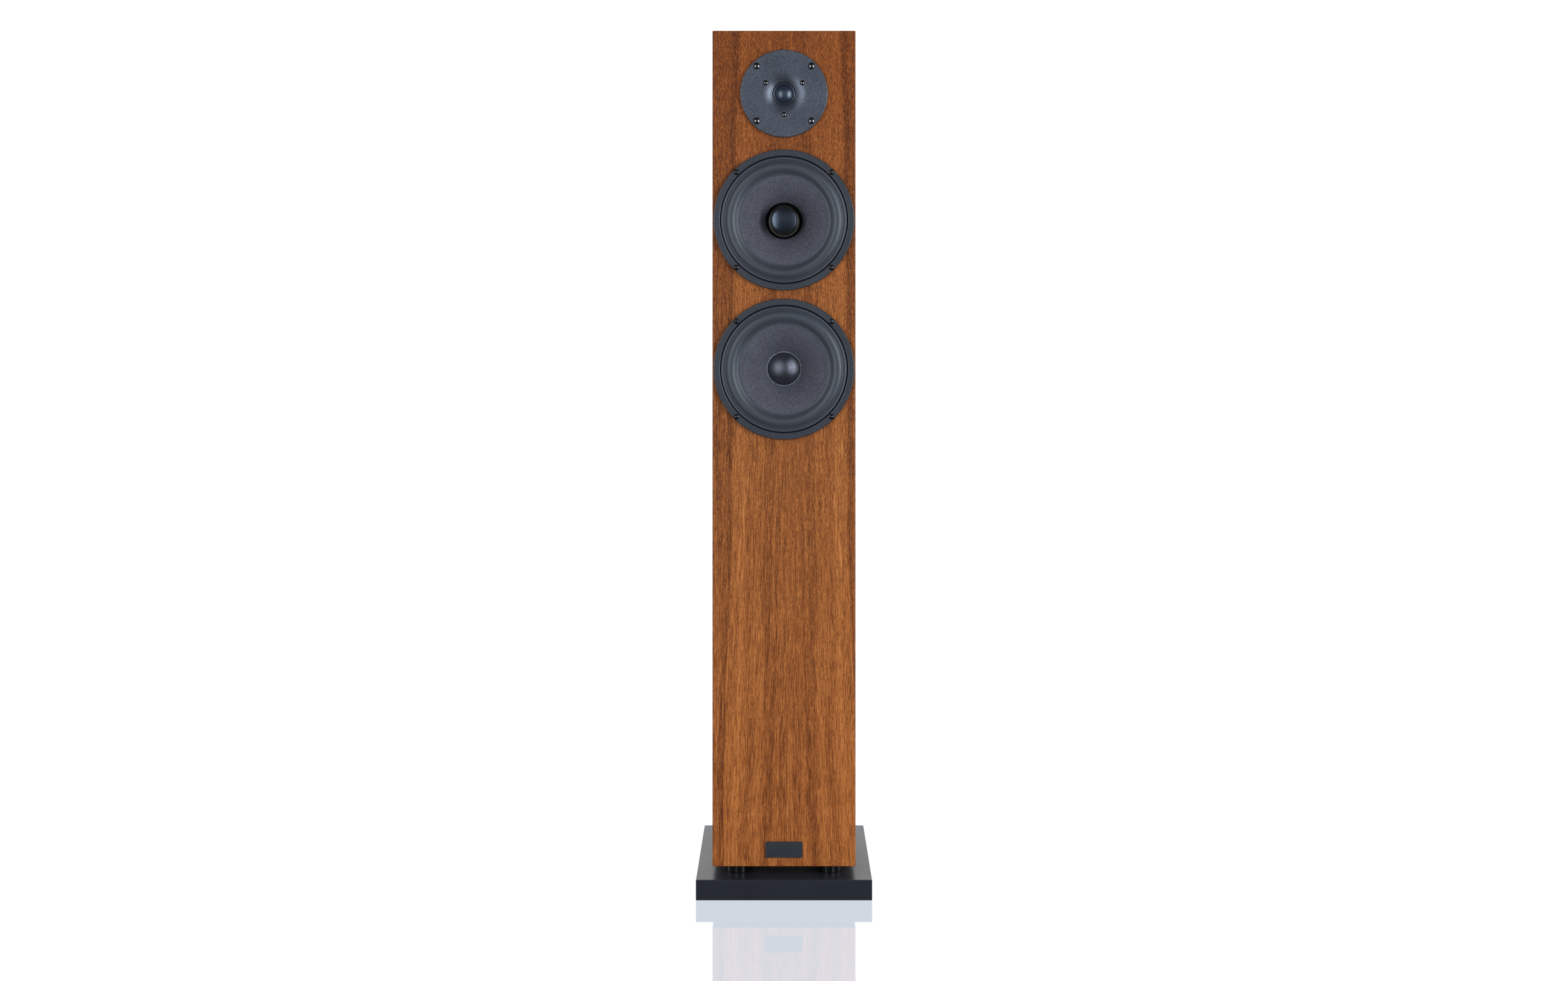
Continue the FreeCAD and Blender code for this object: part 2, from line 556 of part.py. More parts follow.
def make_tweeter():
    face = tweeter_body("tweeter_faceplate")
    flare_rise = cap_rise("tw_flare_radius - tw_throat", "tw_face - tw_throat_top")
    turned(face, "plate", [("tw_face_radius", "tw_face_back"),
                           ("tw_face_radius", "tw_face - tw_face_edge", "-0.29 * tw_face_edge"),
                           ("tw_face_radius - tw_face_edge", "tw_face"),
                           ("tw_flare_radius", "tw_face", f"-{flare_rise}"),
                           ("tw_throat", "tw_throat_top"),
                           ("tw_throat", "tw_boss_back"),
                           ("tw_boss_radius", "tw_boss_back"),
                           ("tw_boss_radius", "tw_face_back")])
    big, small = on_ring("tw_screw_ring", DIAGONALS), on_ring("tw_small_ring", THIRDS)
    pocket_circles(face, "screw_holes", big, "tw_screw_shank + hole_slack", "tw_face + 1", "tw_face + 3")
    pocket_circles(face, "screw_sinks", big, "tw_screw_head + screw_slack", "tw_face + 1", "1 + tw_screw_sink")
    pocket_circles(face, "small_holes", small, "tw_small_shank + hole_slack", "tw_face + 1", "tw_face + 8")
    pocket_circles(face, "small_sinks", small, "tw_small_head + screw_slack", "tw_face + 1",
                   "1 + tw_screw_sink")
    keep("tweeter_faceplate", face)

    screws = tweeter_body("tweeter_screws")
    seat = "tw_face - tw_screw_sink"
    pad_circles(screws, "heads", big, "tw_screw_head", seat, "tw_screw_sink + tw_screw_crown")
    pad_circles(screws, "shanks", big, "tw_screw_shank", "-tw_screw_reach + 4", f"{seat} + tw_screw_reach - 4")
    pad_circles(screws, "small_heads", small, "tw_small_head", seat, "tw_screw_sink")
    pad_circles(screws, "small_shanks", small, "tw_small_shank", "-tw_small_reach", f"{seat} + tw_small_reach")
    pocket_circles(screws, "sockets", big, "tw_screw_shank - 0.4", "tw_face + tw_screw_crown", "1.4")
    pocket_circles(screws, "small_sockets", small, "tw_small_shank - 0.3", "tw_face", "1.1")
    keep("tweeter_screws", screws)

    dome = tweeter_body("tweeter_dome")
    inner_tall = "tw_dome_tall - tw_skin"
    inner_radius = "tw_dome_radius - tw_skin"
    turned(dome, "skin", [("0", f"tw_dome_base + {inner_tall}"),
                          ("0", "tw_dome_base + tw_dome_tall", cap_rise("tw_dome_radius", "tw_dome_tall")),
                          ("tw_dome_radius", "tw_dome_base"),
                          (inner_radius, "tw_dome_base", f"-{cap_rise(inner_radius, inner_tall)}")])
    keep("tweeter_dome", dome)

    surround = tweeter_body("tweeter_surround")
    turned(surround, "roll", [("tw_land_outer", "tw_plate_top"),
                              ("tw_land_outer", "tw_boss_back"),
                              ("tw_roll_outer", "tw_boss_back", "-tw_roll_rise"),
                              ("tw_dome_radius + 0.1", "tw_boss_back"),
                              ("tw_dome_radius + 0.1", "tw_dome_base"),
                              ("tw_dome_radius + tw_skin + 0.1", "tw_dome_base", "tw_roll_rise - tw_skin + 0.15"),
                              ("tw_roll_outer - tw_skin", "tw_dome_base"),
                              ("tw_roll_outer - tw_skin", "tw_plate_top")])
    keep("tweeter_surround", surround)

    coil = tweeter_body("tweeter_voice_coil")
    coil_low = "tw_plate_top - tw_coil_low"
    turned(coil, "former", [("tw_former_radius - tw_former_wall", "tw_plate_top - tw_former_tall"),
                            ("tw_former_radius", "tw_plate_top - tw_former_tall"),
                            ("tw_former_radius", coil_low),
                            ("tw_former_radius + tw_coil_build", coil_low),
                            ("tw_former_radius + tw_coil_build", f"{coil_low} + tw_coil_tall"),
                            ("tw_former_radius", f"{coil_low} + tw_coil_tall"),
                            ("tw_former_radius", "tw_dome_base - 0.1"),
                            ("tw_former_radius - tw_former_wall", "tw_dome_base - 0.1")])
    keep("tweeter_voice_coil", coil)

    plate_low = "(tw_plate_top - tw_plate_thick)"
    magnet_low = f"({plate_low} - tw_magnet_thick)"
    yoke_low = f"({magnet_low} - tw_back_thick)"
    plate = tweeter_body("tweeter_top_plate")
    turned(plate, "ring", [("tw_gap_outer", plate_low), ("tw_motor_radius", plate_low),
                           ("tw_motor_radius", "tw_plate_top"), ("tw_gap_outer", "tw_plate_top")])
    pocket_circles(plate, "threads", small, "tw_small_shank + screw_slack", "tw_plate_top + 1",
                   "tw_small_reach - 1")
    keep("tweeter_top_plate", plate)

    magnet = tweeter_body("tweeter_magnet")
    turned(magnet, "ring", [("tw_magnet_hole", magnet_low), ("tw_magnet_radius", magnet_low),
                            ("tw_magnet_radius", plate_low), ("tw_magnet_hole", plate_low)])
    keep("tweeter_magnet", magnet)

    yoke = tweeter_body("tweeter_yoke")
    turned(yoke, "pole", [("0", yoke_low), ("tw_motor_radius", yoke_low), ("tw_motor_radius", magnet_low),
                          ("tw_pole_radius", magnet_low), ("tw_pole_radius", "tw_plate_top"),
                          ("0", "tw_plate_top")])
    keep("tweeter_yoke", yoke)


# ---------------------------------------------------------------- woofers

def woofer_body(name, piece):
    return place(new_body(f"{name}_{piece}"), "0", FRONT, driver_height(f"{name}_drop"), FACING_FRONT)


def make_woofer_frame(name):
    """Cast frame: flange, seat for the surround, and a windowed basket down to the motor."""
    body = woofer_body(name, "frame")
    turned(body, "casting", [
        ("wf_flange_radius", "wf_flange_back"),
        ("wf_flange_radius", "wf_flange_front - wf_flange_edge", "-0.29 * wf_flange_edge"),
        ("wf_flange_radius - wf_flange_edge", "wf_flange_front"),
        ("wf_flange_opening + wf_opening_edge", "wf_flange_front", "-0.29 * wf_opening_edge"),
        ("wf_flange_opening", "wf_flange_front - wf_opening_edge"),
        ("wf_flange_opening", "wf_seat"),
        ("wf_seat_inner", "wf_seat"),
        ("wf_wall_top_inner", "wf_wall_top"),
        ("wf_wall_low_inner", "wf_ledge"),
        ("wf_ledge_inner", "wf_ledge"),
        ("wf_ledge_inner", "wf_floor + wf_floor_thick"),
        ("wf_floor_inner", "wf_floor + wf_floor_thick"),
        ("wf_floor_inner", "wf_floor"),
        ("wf_ledge_inner + 4.5", "wf_floor"),
        ("wf_wall_low_inner + 2.5", "wf_ledge - 1.5"),
        ("wf_wall_top_inner + 3", "wf_wall_top + 1"),
        ("wf_barrel", "wf_barrel_back"),
        ("wf_barrel", "wf_flange_back")])
    window = new_sketch(body, "window", "XY_Plane", "wf_wall_top + 2")
    middle, half = 30, DIMENSIONS["wf_window_half_angle"]
    bulge = f"{1 - math.cos(math.radians(half)):.9f}"
    (inner_first, inner_last), (outer_first, outer_last) = (
        on_ring(radius, (middle - half, middle + half)) for radius in ("wf_window_inner", "wf_window_outer"))
    draw_outline(window, [inner_first, (*outer_first, f"-wf_window_outer * {bulge}"), outer_last,
                          (*inner_last, f"wf_window_inner * {bulge}")])
    opening = pocket(body, "window_cut", window, "-wf_floor")
    spokes = body.newObject("PartDesign::PolarPattern", f"{name}_frame_windows")
    spokes.Originals = [opening]
    turn_axis = next(feature for feature in body.Origin.OriginFeatures if feature.Role == "Z_Axis")
    spokes.Axis = (turn_axis, [""])
    spokes.Angle = 360
    spokes.Occurrences = 6
    body.Tip = spokes
    screws = on_ring("wf_screw_ring", DIAGONALS)
    pocket_circles(body, "screw_holes", screws, "wf_screw_shank + hole_slack", "wf_flange_front + 1",
                   "wf_flange_front + 1")
    pocket_circles(body, "screw_recesses", screws, "wf_screw_recess", "wf_flange_front + 1",
                   "1 + wf_screw_sink")
    keep(f"{name}_frame", body)


def make_woofer_screws(name):
    body = woofer_body(name, "screws")
    screws = on_ring("wf_screw_ring", DIAGONALS)
    seat = "wf_flange_front - wf_screw_sink"
    pad_circles(body, "heads", screws, "wf_screw_head", seat, "wf_screw_sink + wf_screw_crown")
    pad_circles(body, "shanks", screws, "wf_screw_shank", "-wf_screw_reach + 4", f"{seat} + wf_screw_reach - 4")
    pocket_circles(body, "sockets", screws, "wf_screw_shank - 0.5", "wf_flange_front + wf_screw_crown", "1.8")
    keep(f"{name}_screws", body)


def make_woofer_surround(name):
    """Rubber surround: ridged rim on the frame's seat, half roll, and a land glued to the cone."""
    body = woofer_body(name, "surround")
    under = "cone_front + 0.05"
    turned(body, "rubber", [
        ("rim_outer", "wf_seat"),
        ("rim_outer", "rim_front"),
        ("rim_groove + 0.8", "rim_front"),
        ("rim_groove", "rim_front - 0.6"),
        ("rim_bead + 0.5", "rim_front - 0.4", "-0.35"),
        ("rim_bead - 0.5", "rim_front - 0.4"),
        ("roll_outer", "roll_outer_front", "-roll_rise"),
        ("roll_inner", "land_front"),
        ("land_inner", "land_front"),
        ("land_inner", under),
        ("roll_inner + roll_skin", under, "roll_rise - 0.25"),
        ("roll_outer - roll_skin", "wf_seat")])
    keep(f"{name}_surround", body)


def make_woofer_cone(name):
    """Curved cone with a flat land under the surround and a neck round the coil former."""
    body = woofer_body(name, "cone")
    turned(body, "skin", [
        ("roll_inner", "cone_front"),
        ("land_inner", "cone_front", "-cone_rise"),
        ("neck_radius", "neck"),
        ("neck_radius", "neck - cone_skin - 0.6", "cone_rise"),
        ("land_inner", "cone_front - cone_skin"),
        ("roll_inner", "cone_front - cone_skin")])
    keep(f"{name}_cone", body)


def make_woofer_coil(name):
    body = woofer_body(name, "voice_coil")
    turned(body, "former", [
        ("former_radius - former_wall", "former_low"),
        ("former_radius", "former_low"),
        ("former_radius", "coil_low"),
        ("former_radius + coil_build", "coil_low"),
        ("former_radius + coil_build", "coil_top"),
        ("former_radius", "coil_top"),
        ("former_radius", "former_top"),
        ("former_radius - former_wall", "former_top")])
    keep(f"{name}_voice_coil", body)


def make_woofer_spider(name):
    """Corrugated centring disc between the coil former and the frame's ledge."""
    body = woofer_body(name, "spider")
    rolls = 6
    land = 4
    pitch = f"((spider_outer - spider_inner - {2 * land}) / {rolls})"
    low = "wf_ledge"
    high = "wf_ledge + spider_skin"
    upper = [("spider_inner", high)]
    lower = [("spider_outer", low)]
    for roll in range(rolls):
        side = "1" if roll % 2 else "-1"
        upper.append((f"spider_inner + {land} + {roll} * {pitch}", high, f"{side} * spider_rise"))
        lower.append((f"spider_outer - {land} - {roll} * {pitch}", low, f"{side} * spider_rise"))
    upper += [(f"spider_outer - {land}", high), ("spider_outer", high)]
    lower += [(f"spider_inner + {land}", low), ("spider_inner", low)]
    turned(body, "disc", upper + lower)
    keep(f"{name}_spider", body)


def make_woofer_motor(name):
    plate_low = "(wf_floor - motor_plate_thick)"
    magnet_low = f"({plate_low} - motor_magnet_thick)"
    yoke_low = f"({magnet_low} - motor_back_thick)"
    plate = woofer_body(name, "top_plate")
    turned(plate, "ring", [("motor_gap_outer", plate_low), ("motor_plate_radius", plate_low),
                           ("motor_plate_radius", "wf_floor"), ("motor_gap_outer", "wf_floor")])
    keep(f"{name}_top_plate", plate)

    magnet = woofer_body(name, "magnet")
    turned(magnet, "ring", [("motor_magnet_hole", magnet_low), ("motor_magnet_radius", magnet_low),
                            ("motor_magnet_radius", plate_low), ("motor_magnet_hole", plate_low)])
    keep(f"{name}_magnet", magnet)

    yoke = woofer_body(name, "yoke")
    turned(yoke, "pole", [("0", yoke_low), ("motor_plate_radius", yoke_low), ("motor_plate_radius", magnet_low),
                          ("motor_pole_radius", magnet_low), ("motor_pole_radius", "wf_floor"),
                          ("0", "wf_floor")])
    keep(f"{name}_yoke", yoke)


def make_phase_plug():
    """Fixed plug on the pole: a stepped front with a slightly domed disc."""
    body = woofer_body("midwoofer", "phase_plug")
    turned(body, "plug", [
        ("0", "wf_floor"),
        ("plug_radius", "wf_floor"),
        ("plug_radius", "plug_shoulder", "-0.35"),
        ("plug_ring", "plug_front"),
        ("plug_disc + 0.3", "plug_front"),
        ("plug_disc + 0.3", "plug_front - plug_groove"),
        ("plug_disc", "plug_front - plug_groove"),
        ("plug_disc", "plug_front - plug_crown", "-0.55"),
        ("plug_disc - plug_round", "plug_front + plug_crown"),
        ("0", "plug_front + plug_crown")])
    keep("midwoofer_phase_plug", body)


def make_dust_cap():
    """Domed cap glued to the cone over the coil."""
    body = woofer_body("woofer", "dust_cap")
    inner_tall = "cap_tall - cap_skin"
    inner_radius = "cap_radius - 2 * cap_skin"
    turned(body, "skin", [
        ("0", f"cap_base + {inner_tall}"),
        ("0", "cap_base + cap_tall", cap_rise("cap_radius", "cap_tall")),
        ("cap_radius", "cap_base"),
        (inner_radius, "cap_base", f"-{cap_rise(inner_radius, inner_tall)}")])
    keep("woofer_dust_cap", body)


def make_gaskets():
    """Foam rings between each driver and the baffle."""
    rings = []
    for name, inner, outer, thick, screws, shank in (
            ("tweeter", "tw_gasket_inner", "tw_gasket_outer", "tw_face_back", "tw_screw_ring", "tw_screw_shank"),
            ("midwoofer", "gasket_inner", "gasket_outer", "wf_flange_back", "wf_screw_ring", "wf_screw_shank"),
            ("woofer", "gasket_inner", "gasket_outer", "wf_flange_back", "wf_screw_ring", "wf_screw_shank")):
        ring = new_body(f"{name}_gasket")
        turned(ring, "ring", [(inner, "0"), (outer, "0"), (outer, thick), (inner, thick)])
        pocket_circles(ring, "screw_holes", on_ring(screws, DIAGONALS), f"{shank} + gasket_slack", "2", "3")
        rings.append(place(ring, "0", FRONT, driver_height(f"{name}_drop"), FACING_FRONT))
    keep("driver_gaskets", compound("driver_gaskets", rings))


# ---------------------------------------------------------------- back of the cabinet

def make_port():
    """Reflex port: flared mouth on the back panel and a tube into the cabinet."""
    body = place(new_body("port_tube"), "0", BACK, "port_rise", FACING_BACK)
    quarter = 1 - math.sqrt(0.5)
    outer = "(port_radius + port_wall)"
    turned(body, "tube", [
        ("port_radius + port_flare", "port_flange_proud", f"-{quarter:.9f} * port_flare"),
        ("port_radius", "port_flange_proud - port_flare"),
        ("port_radius", "port_inner_flare - port_length", f"-{quarter:.9f} * port_inner_flare"),
        ("port_radius + port_inner_flare", "-port_length"),
        ("port_radius + port_inner_flare + 1.5", "-port_length"),
        ("port_radius + port_inner_flare + 1.5", "-port_length + 1.5", "1.3"),
        (outer, "port_inner_flare - port_length + 1.5"),
        (outer, "-port_shoulder_deep"),
        ("port_shoulder", "-port_shoulder_deep"),
        ("port_shoulder", "0"),
        ("port_flange_radius", "0"),
        ("port_flange_radius", "port_flange_proud - 1", "0.29"),
        ("port_flange_radius - 1", "port_flange_proud")])
    keep("port_tube", body)


def terminal_body(label, x="0"):
    return place(new_body(label), x, BACK, "term_rise", FACING_BACK)


def make_terminals():
    plate = terminal_body("terminal_plate")
    slab = pad_rectangle(plate, "slab", "term_width", "term_tall", "-term_thick", "term_thick")
    doc.recompute()
    posts = [("-post_x", "0"), ("post_x", "0")]
    pocket_circles(plate, "post_holes", posts, "post_hole", "1", "term_thick + 2")
    corners = four_corners("term_screw_x", "term_screw_y")
    pocket_circles(plate, "screw_holes", corners, "term_screw_shank + hole_slack", "1", "term_thick + 2")
    keep("terminal_plate", plate)

    screws = terminal_body("terminal_screws")
    pad_circles(screws, "heads", corners, "term_screw_head", "0", "term_screw_proud")
    pad_circles(screws, "shanks", corners, "term_screw_shank", "-term_screw_reach", "term_screw_reach")
    pocket_circles(screws, "sockets", corners, "term_screw_shank - 0.4", "term_screw_proud", "0.9")
    keep("terminal_screws", screws)

    for colour, x in (("black", "post_x"), ("red", "-post_x")):
        stud = terminal_body(f"{colour}_post_stud", x)
        turned(stud, "stud", [
            ("0", "post_back"),
            ("post_thread", "post_back"),
            ("post_thread", "0"),
            ("post_flange", "0"),
            ("post_flange", "post_flange_thick"),
            ("post_thread", "post_flange_thick"),
            ("post_thread", "post_front"),
            ("post_bore", "post_front"),
            ("post_bore", "post_front - post_bore_deep"),
            ("0", "post_front - post_bore_deep")])
        keep(f"{colour}_post_stud", stud)

        collar = terminal_body(f"{colour}_post_collar", x)
        collar_low, collar_high = "post_flange_thick + 0.05", "post_flange_thick + 0.05 + collar_thick"
        turned(collar, "ring", [("collar_inner", collar_low), ("collar_outer", collar_low),
                                ("collar_outer", collar_high), ("collar_inner", collar_high)])
        keep(f"{colour}_post_collar", collar)

        knob = terminal_body(f"{colour}_post_knob", x)
        turned(knob, "grip", [
            ("knob_bore", "knob_back"),
            ("knob_radius", "knob_back"),
            ("knob_radius", "knob_front - knob_edge", "-0.29 * knob_edge"),
            ("knob_radius - knob_edge", "knob_front"),
            ("knob_bore", "knob_front")])
        keep(f"{colour}_post_knob", knob)


# ---------------------------------------------------------------- inside the cabinet

def make_crossover():
    floor = f"({CABINET_LOW} + panel)"
    board_low = f"({floor} + board_rise)"
    board_top = f"({board_low} + board_thick)"
    board = place(new_body("crossover_board"), "0", "board_y", "0")
    pad_circles(board, "feet", four_corners("(board_width / 2 - 6)", "(board_deep / 2 - 6)"), "board_foot", floor,
                "board_rise")
    pad_rectangle(board, "plate", "board_width", "board_deep", board_low, "board_thick")
    keep("crossover_board", board)

    coils = place(new_body("crossover_coils"), "0", "board_y", "0")
    centres = [("-coil_x", "-coil_y"), ("coil_x", "-coil_y")]
    pad_circles(coils, "windings", centres, "coil_outer", board_top, "coil_tall")
    pocket_circles(coils, "cores", centres, "coil_inner", f"{board_top} + coil_tall + 1", "coil_tall + 2")
    keep("crossover_coils", coils)

    parts = []
    for index in range(3):
        y = f"board_y + {index - 1} * cap_pitch + 5"
        parts.append(cylinder(f"crossover_capacitor_{index + 1}", "cap_body", "cap_long", "-cap_long - 3", y,
                              f"{board_top} + cap_body + 0.1", Rotation(Vector(0, 1, 0), 90)))
    for index in range(2):
        y = f"board_y + {index} * cap_pitch - 8"
        parts.append(box(f"crossover_resistor_{index + 1}", "resistor_long", "resistor_side", "resistor_side",
                         "resistor_long / 2 + 3", y, board_top))
    keep("crossover_components", compound("crossover_components", parts))


def make_wiring():
    """Three leads up from the crossover, each bent once towards its driver's back."""
    woofer_motor = "motor_back_thick + motor_magnet_thick + motor_plate_thick - wf_floor"
    tails = (("tweeter", "-wire_gap", "tw_back_thick + tw_magnet_thick + tw_plate_thick - tw_plate_top"),
             ("midwoofer", "0", woofer_motor),
             ("woofer", "wire_gap", woofer_motor))
    leads = []
    for name, x, motor_deep in tails:
        high = driver_height(f"{name}_drop")
        tail = f"({FRONT} + {motor_deep} + 2)"
        riser = cylinder(f"{name}_riser", "wire_radius", f"{high} - wire_bend - wire_low", x, "wire_run_y",
                         "wire_low")
        elbow = doc.addObject("Part::Torus", f"{name}_elbow")
        bind(elbow, "Radius1", "wire_bend")
        bind(elbow, "Radius2", "wire_radius")
        elbow.Angle3 = 90
        place(elbow, x, "wire_run_y - wire_bend", f"{high} - wire_bend", X_TO_Y_TO_Z)
        reach = cylinder(f"{name}_reach", "wire_radius", f"wire_run_y - wire_bend - {tail}", x, tail, high,
                         FACING_BACK)
        lead = doc.addObject("Part::MultiFuse", f"{name}_lead")
        lead.Shapes = [riser, elbow, reach]
        leads.append(lead)
    keep("wiring_harness", compound("wiring_harness", leads))


def make_felt():
    """Damping on both side walls, beside the woofers' motors."""
    side = "(cab_width / 2 - panel - felt_thick / 2)"
    pads = [box(f"felt_{name}", "felt_thick", "felt_deep", "felt_tall", f"{sign} * {side}",
                "felt_front + felt_deep / 2", "felt_low")
            for name, sign in (("left", "-1"), ("right", "1"))]
    keep("damping_felt", compound("damping_felt", pads))


def write_steps():
    """Checks every object, then writes each sub-part's solid."""
    doc.recompute()
    for thing in doc.Objects:
        if "Invalid" in thing.State or "Error" in thing.State:
            raise RuntimeError(f"{thing.Label} did not recompute: {thing.State}")
    os.makedirs("parts", exist_ok=True)
    for label, thing in subparts.items():
        if thing.Shape.isNull() or not thing.Shape.isValid():
            raise RuntimeError(f"{label} has no valid shape")
        thing.Shape.exportStep(os.path.join("parts", f"{label}.step"))
        print(f"{label}: {len(thing.Shape.Solids)} solid(s), {thing.Shape.Volume / 1000:.2f} cm3")
    print(f"{len(subparts)} sub-parts")


make_panels(make_cabinet_block())
make_braces()
make_badge()
make_plinth()
make_spacers()
make_plinth_fixings()
make_tweeter()
for woofer in ("midwoofer", "woofer"):
    make_woofer_frame(woofer)
    make_woofer_screws(woofer)
    make_woofer_surround(woofer)
    make_woofer_cone(woofer)
    make_woofer_coil(woofer)
    make_woofer_spider(woofer)
    make_woofer_motor(woofer)
make_phase_plug()
make_dust_cap()
make_gaskets()
make_port()
make_terminals()
make_crossover()
make_wiring()
make_felt()
write_steps()
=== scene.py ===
"""Looks of a floorstanding loudspeaker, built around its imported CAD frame.

Metres, in the frame's own axes: the front faces -Y, Z is up, the floor is at 0. Outlines of turned
pieces are (radius, height) in millimetres, with the height counted from the baffle forwards.
"""

import json
import math

import bmesh
import bpy
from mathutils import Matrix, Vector
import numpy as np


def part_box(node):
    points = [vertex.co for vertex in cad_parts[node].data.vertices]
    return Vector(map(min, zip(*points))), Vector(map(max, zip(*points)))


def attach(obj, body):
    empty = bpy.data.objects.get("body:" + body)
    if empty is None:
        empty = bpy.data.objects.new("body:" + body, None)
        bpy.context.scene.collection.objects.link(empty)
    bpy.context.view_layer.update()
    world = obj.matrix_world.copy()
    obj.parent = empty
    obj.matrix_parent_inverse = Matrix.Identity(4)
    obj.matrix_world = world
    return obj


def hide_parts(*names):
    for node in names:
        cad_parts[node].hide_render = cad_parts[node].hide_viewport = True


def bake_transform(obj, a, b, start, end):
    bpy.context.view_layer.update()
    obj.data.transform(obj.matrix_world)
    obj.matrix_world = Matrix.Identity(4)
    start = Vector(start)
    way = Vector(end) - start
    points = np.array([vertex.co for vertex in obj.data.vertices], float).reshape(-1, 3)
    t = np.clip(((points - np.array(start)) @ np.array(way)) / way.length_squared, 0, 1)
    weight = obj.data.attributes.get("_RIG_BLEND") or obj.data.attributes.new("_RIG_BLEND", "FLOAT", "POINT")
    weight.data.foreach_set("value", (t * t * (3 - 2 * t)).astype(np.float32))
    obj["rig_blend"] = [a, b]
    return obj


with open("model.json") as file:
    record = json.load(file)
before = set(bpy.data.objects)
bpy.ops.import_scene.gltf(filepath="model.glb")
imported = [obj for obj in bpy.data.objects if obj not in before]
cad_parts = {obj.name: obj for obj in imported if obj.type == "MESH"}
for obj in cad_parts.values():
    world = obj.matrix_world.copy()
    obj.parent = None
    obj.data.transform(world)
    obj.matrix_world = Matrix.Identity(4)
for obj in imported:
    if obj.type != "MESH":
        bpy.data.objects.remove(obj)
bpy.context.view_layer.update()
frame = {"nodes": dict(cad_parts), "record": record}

MM = 0.001
SEGMENTS = 288
CREASE = math.radians(32)
WELD = 1e-7
ON_AXIS = 1e-6
NODES = frame["nodes"]
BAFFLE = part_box("front_baffle")
FRONT = BAFFLE[0].y
CABINET_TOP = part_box("top_panel")[1].z
WOOFERS = ("midwoofer", "woofer")
POSTS = ("red", "black")
CONE_RISE = -3.0
COIL_FRONT = FRONT + 37 * MM


def axis_of(node):
    """The point where a driver's axis crosses the baffle's face."""
    low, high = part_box(node)
    return Vector(((low.x + high.x) / 2, FRONT, (low.z + high.z) / 2))


AXES = {
    "tweeter": axis_of("tweeter_dome"),
    "midwoofer": axis_of("midwoofer_cone"),
    "woofer": axis_of("woofer_cone"),
}


# ---------------------------------------------------------------- outlines and meshes


def arc(start, end, rise, steps=14):
    """Points of a round arc from start to end that stands rise to the left of the straight line."""
    begin, finish = Vector(start), Vector(end)
    along = finish - begin
    chord = along.length
    along.normalize()
    left = Vector((-along.y, along.x))
    radius = (chord**2 / 4 + rise**2) / (2 * rise)
    half = math.asin(min(1.0, chord / 2 / abs(radius)))
    middle = (begin + finish) / 2 + left * (rise - radius)
    points = []
    for step in range(steps + 1):
        turn = half * (1 - 2 * step / steps)
        point = middle + left * radius * math.cos(turn) - along * abs(radius) * math.sin(turn)
        points.append((point.x, point.y))
    return points


def rounded(corners, steps=5):
    """A line through corners; a corner given as (radius, height, size) is rounded off over that size."""
    points = []
    for index, corner in enumerate(corners):
        here = Vector(corner[:2])
        if len(corner) == 2:
            points.append((here.x, here.y))
            continue
        before = here + (Vector(corners[index - 1][:2]) - here).normalized() * corner[2]
        after = here + (Vector(corners[index + 1][:2]) - here).normalized() * corner[2]
        for step in range(steps + 1):
            share = step / steps
            point = before.lerp(here, share).lerp(here.lerp(after, share), share)
            points.append((point.x, point.y))
    return points


def smooth_with_creases(mesh):
    """Shades a mesh smooth, apart from its sharp edges, and turns its faces outwards."""
    bm = bmesh.new()
    bm.from_mesh(mesh)
    bmesh.ops.remove_doubles(bm, verts=bm.verts, dist=WELD)
    bmesh.ops.recalc_face_normals(bm, faces=bm.faces)
    for face in bm.faces:
        face.smooth = True
    for edge in bm.edges:
        edge.smooth = edge.calc_face_angle(0.0) < CREASE
    bm.to_mesh(mesh)
    bm.free()


def mesh_piece(name, points, faces, material):
    """A new object from points in metres and faces of point numbers."""
    mesh = bpy.data.meshes.new(name)
    mesh.from_pydata(points, [], faces)
    smooth_with_creases(mesh)
    mesh.materials.append(material)
    piece = bpy.data.objects.new(name, mesh)
    bpy.context.scene.collection.objects.link(piece)
    return piece


def turned(name, outline, centres, material, facing=-1, segments=SEGMENTS, wobble=None):
    """One piece with a ring or disc round each centre, turned from the same closed outline.

    facing is -1 for a piece that faces the front and 1 for one that faces the back. wobble(angle,
    radius) gives how much further out a point stands, in millimetres.
    """
    points, faces = [], []
    for centre in centres:
        rings = []
        for radius, height in outline:
            count = 1 if radius < ON_AXIS else segments
            rings.append(range(len(points), len(points) + count))
            for step in range(count):
                angle = 2 * math.pi * step / segments
                reach = radius + (wobble(angle, radius) if wobble and count > 1 else 0)
                points.append((centre.x + reach * MM * math.cos(angle),
                               centre.y + facing * height * MM,
                               centre.z + reach * MM * math.sin(angle)))
        for ring, after in zip(rings, rings[1:] + rings[:1]):
            if len(ring) == 1 and len(after) == 1:
                continue
            for step in range(segments):
                corners = [ring[step % len(ring)], ring[(step + 1) % len(ring)],
                           after[(step + 1) % len(after)], after[step % len(after)]]
                faces.append(tuple(dict.fromkeys(corners)))
    return mesh_piece(name, points, faces, material)


# ---------------------------------------------------------------- node materials


def rgb(red, green, blue):
    """A linear colour from the red, green and blue that a screen shows, 0 to 255."""
    linear = []
    for value in (red, green, blue):
        share = value / 255
        linear.append(share / 12.92 if share <= 0.04045 else ((share + 0.055) / 1.055) ** 2.4)
    return (*linear, 1.0)


